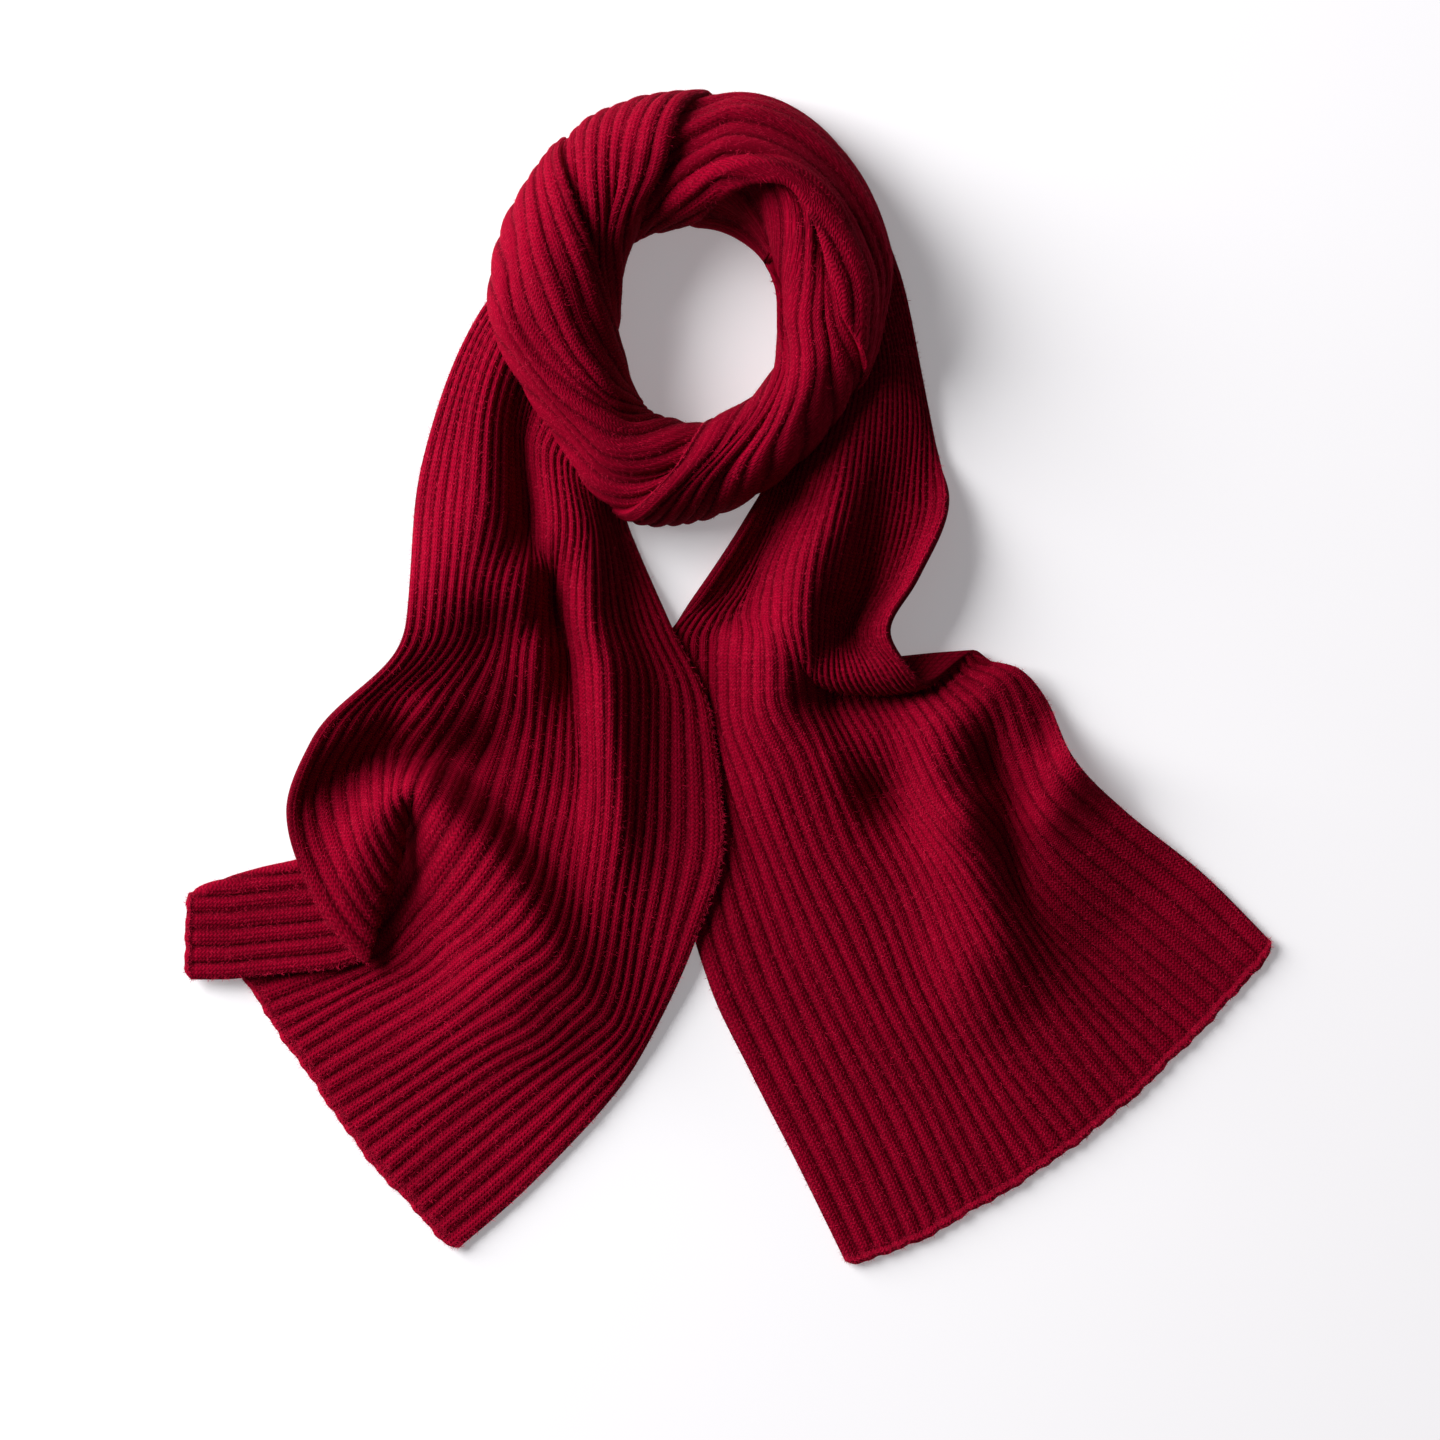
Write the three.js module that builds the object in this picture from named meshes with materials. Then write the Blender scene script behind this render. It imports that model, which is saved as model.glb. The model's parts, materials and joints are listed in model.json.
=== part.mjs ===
// Ribbed knit scarf laid flat: one long strip of rib knit, wound once round a neck hole, with two
// loose tails. Millimetres, +Z up, the scarf lies on z = 0 and is centred on the origin.
import * as THREE from 'three';

// Cloth
const RIBS = 32;
const WALL = 3;
const HALF_WALL = WALL / 2;
const RIB_RELIEF = 1.3;
const RIB_PITCH = 9.3;
const KNIT_COLOUR = 0x9c0634;

// Ring of wound cloth round the neck hole
const RING_CENTRE = { x: -20, y: 201 };
const RIM_HEIGHT = 7;
const BAND_LIFT = 3.7;
const RIM_LIFT = 2;
const TUCK_SINK = 2.5;
const TUCK_RIBS = 1.5;
const LAP_RIBS = 3;
const CORE_DEPTH = 10;
const SEAT_GAP = 0.3;

// Folded corner: heights of the middle of the wall on the table and folded back on it
const CORNER_LOW = 1.5;
const CORNER_HIGH = 6.2;
const CORNER_RETURN = 9;

// A smooth curve through knots that never overshoots them: cubic Hermite with limited slopes.
function curveThrough(knots, values) {
  const n = knots.length;
  const gaps = knots.slice(1).map((knot, i) => knot - knots[i]);
  const steep = gaps.map((gap, i) => (values[i + 1] - values[i]) / gap);
  const slope = new Array(n).fill(0);
  slope[0] = steep[0];
  slope[n - 1] = steep[n - 2];
  for (let i = 1; i < n - 1; i += 1) {
    if (steep[i - 1] * steep[i] > 0) {
      const before = 2 * gaps[i] + gaps[i - 1];
      const after = gaps[i] + 2 * gaps[i - 1];
      slope[i] = (before + after) / (before / steep[i - 1] + after / steep[i]);
    }
  }
  return (at) => {
    let i = 0;
    while (i < n - 2 && at > knots[i + 1]) i += 1;
    const t = (at - knots[i]) / gaps[i];
    const rise = (t * t) * (3 - 2 * t);
    const leave = t * (1 - t) * (1 - t) * gaps[i] * slope[i];
    const arrive = t * t * (t - 1) * gaps[i] * slope[i + 1];
    return values[i] * (1 - rise) + values[i + 1] * rise + leave + arrive;
  };
}

const smooth = (t) => {
  const clipped = Math.min(1, Math.max(0, t));
  return clipped * clipped * (3 - 2 * clipped);
};

// One section of a tail, as a function of the rib number across it.
function sectionCurve(knots) {
  const ribs = knots.map((knot) => knot[0]);
  const axes = [1, 2, 3].map((axis) => curveThrough(ribs, knots.map((knot) => knot[axis])));
  return (rib) => new THREE.Vector3(...axes.map((axis) => axis(rib)));
}

// Grid of points on the middle of a tail's wall: rows run across the ribs, from the hem to the neck.
function tailGrid(sections, columns) {
  const curves = sections.map((section) => sectionCurve(section.knots));
  const ribAt = (column) => (column / columns) * RIBS;
  const grid = [];
  for (let column = 0; column <= columns; column += 1) {
    const points = curves.map((curve) => curve(ribAt(column)));
    const along = [0];
    for (let i = 1; i < points.length; i += 1) {
      along.push(along[i - 1] + Math.max(0.5, points[i].distanceTo(points[i - 1])));
    }
    const axes = ['x', 'y', 'z'].map((axis) => curveThrough(along, points.map((p) => p[axis])));
    let row = 0;
    for (let i = 0; i < sections.length; i += 1) {
      const steps = i === sections.length - 1 ? 1 : sections[i].steps;
      for (let k = 0; k < steps; k += 1) {
        const next = along[Math.min(i + 1, along.length - 1)];
        const at = along[i] + (k / steps) * (next - along[i]);
        grid[row] = grid[row] || [];
        grid[row][column] = new THREE.Vector3(...axes.map((axis) => axis(at)));
        row += 1;
      }
    }
  }
  return grid;
}

// Unit normals of a grid of points, from the differences of the neighbours. Where the ends of the
// columns stand upright on something, the normals there are level.
function gridNormals(grid, levelEnds = false) {
  const last = grid.length - 1;
  return grid.map((row, i) => row.map((point, j) => {
    const end = row.length - 1;
    const along = grid[Math.min(last, i + 1)][j].clone().sub(grid[Math.max(0, i - 1)][j]);
    const across = row[Math.min(end, j + 1)].clone().sub(row[Math.max(0, j - 1)]);
    const normal = across.cross(along);
    if (levelEnds && (i === 0 || i === last)) normal.setZ(0);
    return normal.normalize();
  }));
}

// Closed wall round a grid: ribbed outer face on every column, plain inner face on every coarse one.
// A cell of coarse columns can be left out by the open test, which makes a slit.
function clothWall(grid, { coarse, relief, open = () => false, levelEnds = false }) {
  const normals = gridNormals(grid, levelEnds);
  const rows = grid.length - 1;
  const cells = (grid[0].length - 1) / coarse;
  const points = [];
  const faces = [];
  const outer = grid.map((row, i) => row.map((point, j) => {
    const height = HALF_WALL + relief(i, j, point);
    points.push(point.clone().addScaledVector(normals[i][j], height));
    return points.length - 1;
  }));
  const inner = grid.map((row, i) => row.map((point, j) => {
    if (j % coarse) return -1;
    points.push(point.clone().addScaledVector(normals[i][j], -HALF_WALL));
    return points.length - 1;
  }));
  const face = (...corners) => faces.push(...corners);
  const filled = (i, cell) => i >= 0 && i < rows && cell >= 0 && cell < cells && !open(i, cell * coarse);
  for (let i = 0; i < rows; i += 1) {
    for (let cell = 0; cell < cells; cell += 1) {
      if (!filled(i, cell)) continue;
      const a = cell * coarse;
      const b = a + coarse;
      for (let j = a; j < b; j += 1) {
        face(outer[i][j], outer[i][j + 1], outer[i + 1][j]);
        face(outer[i][j + 1], outer[i + 1][j + 1], outer[i + 1][j]);
      }
      face(inner[i][a], inner[i + 1][a], inner[i][b]);
      face(inner[i][b], inner[i + 1][a], inner[i + 1][b]);
      if (!filled(i, cell - 1)) {
        face(outer[i][a], outer[i + 1][a], inner[i][a]);
        face(inner[i][a], outer[i + 1][a], inner[i + 1][a]);
      }
      if (!filled(i, cell + 1)) {
        face(outer[i][b], inner[i][b], outer[i + 1][b]);
        face(inner[i][b], inner[i + 1][b], outer[i + 1][b]);
      }
      if (!filled(i - 1, cell)) {
        for (let j = a; j < b; j += 1) face(inner[i][a], outer[i][j + 1], outer[i][j]);
        face(inner[i][a], inner[i][b], outer[i][b]);
      }
      if (!filled(i + 1, cell)) {
        for (let j = a; j < b; j += 1) face(inner[i + 1][a], outer[i + 1][j], outer[i + 1][j + 1]);
        face(inner[i + 1][a], outer[i + 1][b], inner[i + 1][b]);
      }
    }
  }
  const used = new Map();
  const place = [];
  const index = faces.map((old) => {
    if (!used.has(old)) {
      used.set(old, place.length / 3);
      place.push(points[old].x, points[old].y, Math.max(0, points[old].z));
    }
    return used.get(old);
  });
  const geometry = new THREE.BufferGeometry();
  geometry.setAttribute('position', new THREE.Float32BufferAttribute(place, 3));
  geometry.setIndex(index);
  geometry.computeVertexNormals();
  return geometry;
}

// Left tail. Each section runs across the ribs; a knot is [rib number, x, y, z of the wall's middle].
// From the hem to 'foot' the first knot is the hidden edge under the folded corner; from 'flap edge'
// on it is the left selvedge. Between these two sections the cloth is slit up to the pleat's apex.
const LEFT_APEX_RIB = 10;
const LEFT_TAIL = [
  { at: 'hem', steps: 2, knots: [[0, -299, -127, 1.5], [10, -279, -155, 1.5], [13, -263, -182, 1.5],
    [16, -248, -204, 1.5], [20, -227, -234, 1.5], [24, -206, -264, 1.5], [28, -180, -293, 1.5],
    [32, -155, -320, 1.5]] },
  { at: 'panel', steps: 2, knots: [[0, -252, -115, 1.5], [10, -238, -136, 1.5], [13, -219, -164, 1.5],
    [16, -208, -180, 2.5], [20, -186, -209, 4], [24, -168, -235, 3], [28, -144, -262, 1.5],
    [32, -120, -290, 1.5]] },
  { at: 'upper panel', steps: 1, knots: [[0, -222, -102, 1.5], [10, -205, -118, 1.5],
    [13, -195, -152, 1.5], [16, -172, -161, 5], [20, -150, -184, 13], [24, -130, -209, 9],
    [28, -109, -232, 4], [32, -92, -262, 1.5]] },
  { at: 'foot', steps: 1, knots: [[0, -198, -90, 1.5], [10, -184, -86, 2.5], [13, -174, -130, 4],
    [16, -158, -148, 12], [20, -134, -171, 22], [24, -108, -197, 15], [28, -88, -214, 7],
    [32, -72, -240, 1.5]] },
  { at: 'flap edge', steps: 1, knots: [[0, -203, -159, 11], [3, -196, -130, 13], [6, -187, -103, 17],
    [10, -178, -73, 22], [13, -163, -117, 17], [16, -143, -136, 24], [20, -120, -160, 28],
    [24, -96, -185, 18], [28, -74, -203, 9], [32, -58, -222, 1.5]] },
  { at: 'hump crest', steps: 1, knots: [[0, -228, -131, 14], [3, -212, -101, 24], [6, -197, -78, 31],
    [10, -176, -62, 34], [13, -145, -90, 35], [16, -124, -113, 35], [20, -103, -146, 31],
    [24, -83, -172, 20], [28, -62, -190, 10], [32, -45, -200, 3]] },
  { at: 'north foot', steps: 2, knots: [[0, -247, -74, 24], [2, -233, -64, 17], [4, -215, -52, 10],
    [7, -193, -41, 6], [10, -168, -42, 5], [13, -134, -62, 4], [16, -113, -85, 4],
    [20, -90, -105, 6], [24, -71, -125, 12], [28, -50, -140, 8], [32, -20, -147, 6.3]] },
  { at: 'dark slope', steps: 2, knots: [[0, -233, -33, 30], [3, -203, -18, 27], [6, -181, -12, 22],
    [10, -148, -10, 17], [12, -128, -14, 14], [14, -115, -20, 11], [17, -98, -34, 6],
    [19.5, -84, -46, 5], [21.5, -75.5, -54, 18], [24, -64, -62, 23], [27, -48, -73, 12],
    [29.5, -29, -80, 7], [32, -3, -88, 6.3]] },
  { at: 'waist', steps: 2, knots: [[0, -182, 25, 36], [3, -166, 27, 34], [6, -151, 28, 31],
    [9, -137, 26, 27], [12, -122, 20, 24], [14.5, -109.5, 16.5, 22], [16.5, -99, 14.5, 12],
    [18.5, -90, 12, 4], [20.5, -82, 9, 15], [23, -70, 5, 30], [25.5, -55, 0, 20], [28, -40, -6, 10],
    [32, -12, -14, 6.3]] },
  { at: 'shoulder', steps: 2, knots: [[0, -178, 52, 30], [3, -162, 53, 37], [6, -147, 53, 38],
    [9, -133, 52, 36], [12, -118.5, 49.5, 34], [14, -110, 47, 23], [17.5, -98, 44, 4],
    [19.5, -90, 42, 16], [22, -80, 40, 31], [25, -67, 36, 22], [28, -53, 32, 11],
    [32, -31, 26, 6.3]] },
  { at: 'neck', steps: 2, knots: [[0, -175, 100, 11], [3, -158, 100, 22], [6, -140, 98, 30],
    [8, -130, 96, 25], [10, -121, 94, 13], [12.5, -112, 91, 4], [15, -104, 89, 15],
    [17, -97, 87, 26], [20, -86, 83, 29], [23, -77, 79, 26], [26, -69, 75, 16], [29, -61, 73, 6],
    [32, -53, 75, 1.5]] },
  { at: 'upper neck', steps: 2, knots: [[0, -163, 152, 7], [3, -150, 150, 15], [6, -137, 146, 21],
    [8, -129, 142, 17], [10, -122, 138, 9], [12.5, -115, 134, 4.5], [15, -108, 130, 12],
    [17, -101, 126, 17], [20, -91, 118, 18], [23, -82, 108, 17], [26, -74, 100, 13],
    [29, -66, 93, 6], [32, -58, 87, 1.5]] },
  { at: 'ring edge', steps: 1, knots: [[0, -137, 210, 4], [3, -131, 201, 10], [6, -124, 189, 16],
    [8, -119, 178, 13], [10, -114, 169, 8], [12.5, -109, 160, 5], [15, -102, 149, 10],
    [17, -96, 139, 14.5], [20, -86, 128, 15.5], [23, -78, 115, 15], [26, -71, 105, 11],
    [29, -65, 98, 6], [32, -60, 93, 1.5]] },
  { at: 'end', steps: 1, knots: [[0, -124, 225, 4], [3, -118, 214, 9], [6, -112, 202, 15.5],
    [8, -107, 191, 12], [10, -102, 182, 8], [12.5, -97, 173, 5], [15, -90, 162, 10],
    [17, -84, 152, 14], [20, -74, 141, 15], [23, -66, 128, 14.5], [26, -59, 118, 11],
    [29, -53, 111, 6], [32, -48, 106, 1.5]] },
];

// Right tail, in the same way. Its pleat is a full Z: 'fold out' turns the cloth over the lower
// layer, 'fold back' is the lip of the nose above it, and both close up towards rib 12.
const RIGHT_TAIL = [
  { at: 'hem', steps: 2, knots: [[0, 66, -328, 1.5], [4, 101, -316, 1.5], [8, 134, -298, 1.5],
    [12, 166, -279, 1.5], [16, 197, -257, 1.5], [20, 225, -234, 1.5], [24, 253, -207, 1.5],
    [28, 280, -179, 1.5], [32, 306, -149, 1.5]] },
  { at: 'lower panel', steps: 2, knots: [[0, 38, -271, 1.5], [4, 74, -257, 1.5], [8, 107, -240, 2],
    [12, 133, -222, 2.5], [16, 157, -204, 6], [20, 184, -182, 7], [24, 203, -159, 3],
    [28, 230, -136, 2], [32, 264, -107, 1.5]] },
  { at: 'panel', steps: 2, knots: [[0, 12, -220, 1.5], [4, 47, -203, 2], [8, 79, -188, 3],
    [12, 106, -170, 5], [16, 132, -152, 19], [19, 149, -140, 24], [21, 158, -132, 18],
    [24, 167, -122, 9], [28, 185, -98, 12], [32, 219, -71, 9]] },
  { at: 'folds', steps: 1, knots: [[0, -12, -169, 1.5], [4, 26, -157, 2], [8, 57, -142, 5],
    [12, 88, -124, 8], [16, 112, -108, 15], [20, 133, -103, 29], [22, 142, -96, 24],
    [24.5, 153, -86, 7], [27, 163, -79, 12], [29.5, 175, -67, 21], [32, 192, -44, 17]] },
  { at: 'upper folds', steps: 2, knots: [[0, -25, -118, 1.5], [4, 8, -105, 1.5], [8, 38, -100, 8],
    [12, 68, -86, 12], [16, 92, -74, 6], [20, 108, -68, 20], [22.5, 121, -63, 28], [25, 136, -58, 16],
    [27, 149, -52, 5], [29.5, 163, -38, 14], [32, 178, -13, 6]] },
  { at: 'below the nose', steps: 2, knots: [[0, -27, -62, 1.5], [4, -6, -60, 1.5], [8, 20, -52, 15],
    [12, 48, -36, 21], [16, 70, -36, 14], [19, 87, -34, 13], [22, 103, -32, 19], [25, 122, -26, 25],
    [28, 141, -14, 17], [30, 151, 0, 12], [32, 162, 6, 8]] },
  { at: 'under the nose', steps: 1, knots: [[0, -34, -22, 1.5], [5, -11, -18, 1.5], [8, 7, -14, 16],
    [11, 28, -12, 27], [13, 42, -10, 18], [16, 57, -6, 4], [20, 77, -2, 2], [24, 98, 1, 2],
    [28, 122, 4, 4], [32, 146, 11, 3]] },
  { at: 'fold out', steps: 1, knots: [[0, -38, -6, 1.5], [5, -12, -6, 1.5], [8, 7, -4, 17],
    [11, 27, -4, 29], [13, 41, 0, 22], [16, 58, 9, 6], [20, 78, 12, 5.2], [24, 98, 14, 5.2],
    [28, 118, 16, 5.5], [32, 137, 17, 5.5]] },
  { at: 'middle layer', steps: 1, knots: [[0, -38, 4, 1.5], [5, -12, 4, 1.5], [8, 7, 4, 18],
    [11, 27, 4, 30], [13, 40, 5, 25], [16, 55, 4, 12], [20, 73, 4, 9.5], [24, 91, 5, 9.5],
    [28, 108, 6, 9.5], [32, 124, 8, 9.5]] },
  { at: 'fold back', steps: 1, knots: [[0, -38, 14, 1.5], [5, -12, 14, 1.8], [8, 7, 13, 20],
    [11, 27, 12, 31], [13, 39, 9, 27], [16, 52, -2, 18], [20, 69, -6, 17], [24, 85, -6.5, 17],
    [28, 98, -5, 17], [32, 110, -2, 17]] },
  { at: 'nose', steps: 2, knots: [[0, -36, 23, 1.5], [5, -12, 23, 2], [8, 8, 23, 20], [11, 26, 21, 31],
    [13, 38, 17, 31], [16, 48, 7, 25], [20, 62, 3, 24], [24, 76, 3, 24], [28, 89, 5, 25],
    [32, 100, 7, 25]] },
  { at: 'gutter', steps: 2, knots: [[0, -29, 34, 1.8], [3, -17, 34, 2.2], [6, -3, 36, 3.5],
    [9, 12, 36, 19], [12, 30, 35, 31], [14, 40, 34, 33], [17, 51, 31, 20], [20, 59, 29, 10],
    [24, 68, 27, 7], [28, 78, 26, 14], [32, 88, 28, 26]] },
  { at: 'lip', steps: 2, knots: [[0, -16, 52, 10], [2, -9, 50, 5], [5, 3, 50, 3], [8, 13, 53, 13],
    [11, 26, 57, 26], [14, 43, 62, 35], [17, 55, 60, 27], [20, 66, 58, 14], [24, 80, 56, 5],
    [28, 92, 54, 9], [32, 104, 57, 22]] },
  { at: 'neck', steps: 2, knots: [[0, 10, 92, 12], [3, 19, 91, 7], [6, 26, 92, 6], [9, 35, 95, 15],
    [12, 46, 99, 24], [15, 58, 103, 26], [18, 69, 103, 21], [21, 79, 102, 13], [24, 89, 101, 8],
    [27, 99, 100, 6], [29.5, 109, 100, 6], [32, 122, 102, 13]] },
  { at: 'ring edge', steps: 1, knots: [[0, 20, 110, 7], [4, 32, 118, 6], [8, 44, 130, 11],
    [12, 57, 141, 17], [16, 70, 150, 18.5], [20, 82, 153, 17.5], [24, 93, 150, 14],
    [28, 104, 142, 9], [30, 109, 137, 6], [32, 114, 133, 3]] },
  { at: 'ring side', steps: 2, knots: [[0, 27, 118, 7], [8, 50, 138, 11], [12, 60, 150, 16],
    [16, 72, 162, 18], [20, 83, 170, 17.5], [24, 92, 173, 15], [28, 100, 172, 10], [32, 107, 167, 2.5]] },
  { at: 'upper ring side', steps: 1, knots: [[0, 38, 133, 7], [8, 54, 158, 11], [12, 62, 176, 16],
    [16, 69, 193, 17.5], [20, 76, 207, 17], [24, 83, 216, 14], [28, 89, 221, 9], [32, 96, 222, 2.5]] },
  { at: 'end', steps: 1, knots: [[0, 42, 141, 7], [8, 55, 171, 11], [12, 61, 191, 15],
    [16, 66, 210, 16.5], [20, 70, 227, 16], [24, 75, 240, 13], [28, 80, 249, 8], [32, 85, 253, 2.5]] },
];

// Folded corner of the left tail, back side up on the panel: stations along its horizontal ribs,
// from the end under the flap to the hem. 'low' is the selvedge, 'high' the fold that turns down.
const CORNER = [
  { x: -208, low: -157, high: -88 },
  { x: -222, low: -161, high: -94 },
  { x: -240, low: -163, high: -102 },
  { x: -262, low: -165, high: -107 },
  { x: -285, low: -167, high: -113 },
  { x: -305, low: -167, high: -122 },
];

// Ring: distances of the inner and outer rims from the ring's centre, the height of the cloth
// between them, the height of its outer edge and the room for the tails' ends inside that edge,
// every 15 degrees anticlockwise from +X.
const RIM_STEP = 15;
const RIM = {
  inner: [49, 51, 53, 54.5, 55, 55.5, 55.5, 56.5, 57.5, 56, 50.5, 46.5,
    45, 46.5, 48.5, 53, 58, 58.5, 58, 57.5, 57, 55.5, 54.5, 51.5],
  outer: [103, 112, 117, 123, 128, 130, 125.5, 126, 125.5, 120.5, 118, 115,
    111.5, 103, 98.5, 100.5, 111, 114, 109.5, 103, 97.5, 95, 95.5, 99],
  top: [44, 46, 48, 50, 51, 52, 52, 52, 51, 50, 50, 49,
    48, 47, 46, 44, 43, 42, 41, 41, 42, 43, 43, 43],
  edge: [21.8, 21.8, 19, 8, 7, 7, 7, 7, 7, 7, 8, 12,
    21.5, 21.5, 21.5, 21.5, 19, 9, 7, 9, 19, 21.8, 21.8, 21.8],
  room: [20, 20, 20, 8, 0, 0, 0, 0, 0, 0, 6, 20,
    20, 20, 20, 20, 22, 20, 8, 12, 20, 20, 20, 20],
};

function rimValue(name, degrees) {
  const column = RIM[name];
  const at = ((degrees % 360) + 360) % 360 / RIM_STEP;
  const i = Math.floor(at);
  const t = at - i;
  const pick = (k) => column[(k + column.length) % column.length];
  const [a, b, c, d] = [pick(i - 1), pick(i), pick(i + 1), pick(i + 2)];
  return b + 0.5 * t * (c - a + t * (2 * a - 5 * b + 4 * c - d + t * (3 * (b - c) + d - a)));
}

// Point of the ring's cloth: an upright half ellipse between the rims, turn = 0 inside, PI outside.
function ringPoint(degrees, turn) {
  const inner = rimValue('inner', degrees);
  const outer = rimValue('outer', degrees);
  const radius = inner + (outer - inner) * (1 - Math.cos(turn)) / 2;
  const base = turn < Math.PI / 2 ? RIM_HEIGHT : rimValue('edge', degrees);
  const height = base + (rimValue('top', degrees) - base) * Math.sin(turn);
  const angle = THREE.MathUtils.degToRad(degrees);
  return new THREE.Vector3(
    RING_CENTRE.x + radius * Math.cos(angle), RING_CENTRE.y + radius * Math.sin(angle), height);
}

// Lines that ribs follow round the ring in plan, [x, y], from the inner rim to the outer one.
const LINES = {
  frontEdge: [[-56, 159], [-65, 186], [-72, 214], [-78, 240], [-87, 269], [-91, 303]],
  frontInner: [[-48, 149], [-66, 158], [-84, 178], [-98, 205], [-108, 235], [-112, 260], [-110, 281]],
  frontOuter: [[-24, 144], [-50, 136], [-75, 142], [-97, 160], [-115, 184], [-127, 208], [-132, 228]],
  leftEdge: [[-62, 244], [-47, 269], [-36, 287], [-27, 315], [-10, 327]],
  topOuter: [[-48, 254], [-30, 272], [0, 287], [30, 287], [52, 272], [68, 245], [79, 215], [82, 196]],
  topEdge: [[-27, 257], [1, 274], [19, 278], [37, 273], [48, 254], [55, 232], [61, 205], [73, 161]],
  rightInner: [[2, 252], [22, 238], [30, 215], [34, 190], [33, 165], [24, 142], [10, 122], [-8, 97]],
  rightOuter: [[28, 200], [30, 175], [20, 152], [2, 131], [-18, 111], [-38, 90]],
  rightEdge: [[-7, 142], [-27, 123], [-43, 106], [-66, 95]],
};

// Four bands lie on each other clockwise: each starts under the edge of the one before it and ends in
// its own. Guides are [line, rib number], and folds are [rib number, depth, half width in ribs].
const BANDS = [
  { name: 'ring_front', ribs: 14,
    guides: [['rightEdge', TUCK_RIBS], ['frontOuter', 5.5], ['frontInner', 9.5], ['frontEdge', 14]],
    folds: [[6.5, 2.5, 1.3], [9.5, 2, 1.1]] },
  { name: 'ring_left', ribs: 10,
    guides: [['frontEdge', TUCK_RIBS], ['leftEdge', 10]], folds: [[5, 2, 1.4]] },
  { name: 'ring_top', ribs: 12,
    guides: [['leftEdge', TUCK_RIBS], ['topOuter', 8], ['topEdge', 12]], folds: [[5, 4, 1.2]] },
  { name: 'ring_right', ribs: 16,
    guides: [['topEdge', TUCK_RIBS], ['rightInner', 7], ['rightOuter', 11.5], ['rightEdge', 16]],
    folds: [[4.5, 4, 1.3], [9, 3, 1.2]] },
];
const BAND_ROWS = 14;

// A line in the ring's own coordinates: degrees and turn as functions of the share of its length.
function ringLine(name) {
  const points = LINES[name];
  const along = [0];
  points.slice(1).forEach(([x, y], i) => {
    along.push(along[i] + Math.hypot(x - points[i][0], y - points[i][1]));
  });
  let before = null;
  const degrees = points.map(([x, y]) => {
    let value = THREE.MathUtils.radToDeg(Math.atan2(y - RING_CENTRE.y, x - RING_CENTRE.x));
    while (before !== null && value - before > 180) value -= 360;
    while (before !== null && before - value > 180) value += 360;
    before = value;
    return value;
  });
  const turns = points.map(([x, y], i) => {
    const radius = Math.hypot(x - RING_CENTRE.x, y - RING_CENTRE.y);
    const inner = rimValue('inner', degrees[i]);
    const share = (radius - inner) / (rimValue('outer', degrees[i]) - inner);
    return Math.acos(1 - 2 * Math.min(1, Math.max(0, share)));
  });
  turns[0] = 0;
  turns[turns.length - 1] = Math.PI;
  const length = along[along.length - 1];
  const degreeAt = curveThrough(along, degrees);
  const turnAt = curveThrough(along, turns);
  return (share) => ({ degrees: degreeAt(share * length), turn: turnAt(share * length) });
}

// One row of a band, as degrees and turn by rib number, through spots on its guides.
function rowCurve(ribs, spots) {
  for (let k = 1; k < spots.length; k += 1) {
    while (spots[k].degrees - spots[k - 1].degrees > 100) spots[k].degrees -= 360;
    while (spots[k - 1].degrees - spots[k].degrees > 260) spots[k].degrees += 360;
  }
  const degreesAt = curveThrough(ribs, spots.map((spot) => spot.degrees));
  const turnAt = curveThrough(ribs, spots.map((spot) => spot.turn));
  return (rib) => ({ degrees: degreesAt(rib), turn: turnAt(rib) });
}

// Grid of a band: its first ribs run in under the last ones of the band before it and are sunk there,
// and its own last ribs are lifted on to the next band. Towards both rims the lift gives way to the
// sink, so that the outline stays smooth.
function bandGrid(band, columns) {
  const before = BANDS[(BANDS.indexOf(band) + BANDS.length - 1) % BANDS.length];
  const [lines, linesBefore] = [band, before].map(({ guides }) => guides.map(([name]) => ringLine(name)));
  const [ribs, ribsBefore] = [band, before].map(({ guides }) => guides.map(([, rib]) => rib));
  const grid = [];
  for (let i = 0; i <= BAND_ROWS; i += 1) {
    const share = i / BAND_ROWS;
    const last = rowCurve(ribsBefore, linesBefore.map((line) => line(share)));
    const tucked = last(before.ribs - TUCK_RIBS);
    const row = rowCurve([0, ...ribs], [tucked, ...lines.map((line) => line(share))]);
    grid.push(Array.from({ length: columns + 1 }, (_, j) => {
      const { degrees, turn } = row((j / columns) * band.ribs);
      return ringPoint(degrees, turn);
    }));
  }
  const normals = gridNormals(grid, true);
  return grid.map((row, i) => row.map((point, j) => {
    const rib = (j / columns) * band.ribs;
    const held = Math.sin((Math.PI * i) / BAND_ROWS);
    const lift = RIM_LIFT + (BAND_LIFT - RIM_LIFT) * smooth(held / 0.55);
    const rise = lift * smooth((rib - band.ribs + LAP_RIBS + 2) / 2);
    const dip = (TUCK_SINK + BAND_LIFT - lift) * smooth((TUCK_RIBS + 2 - rib) / 2);
    const sink = band.folds.reduce((sum, [at, depth, half]) => (
      sum + depth * held * Math.exp(-(((rib - at) / half) ** 2))), 0);
    return point.clone().addScaledVector(normals[i][j], rise - dip - sink);
  }));
}

// Hidden layers of the ring as one solid: flat below, rounded above, with two folded layers that show
// at each edge and carry the bands. It keeps clear of the tails' ends.
const CORE_TURNS = 8;
const CORE_LAYERS = 2;

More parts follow.
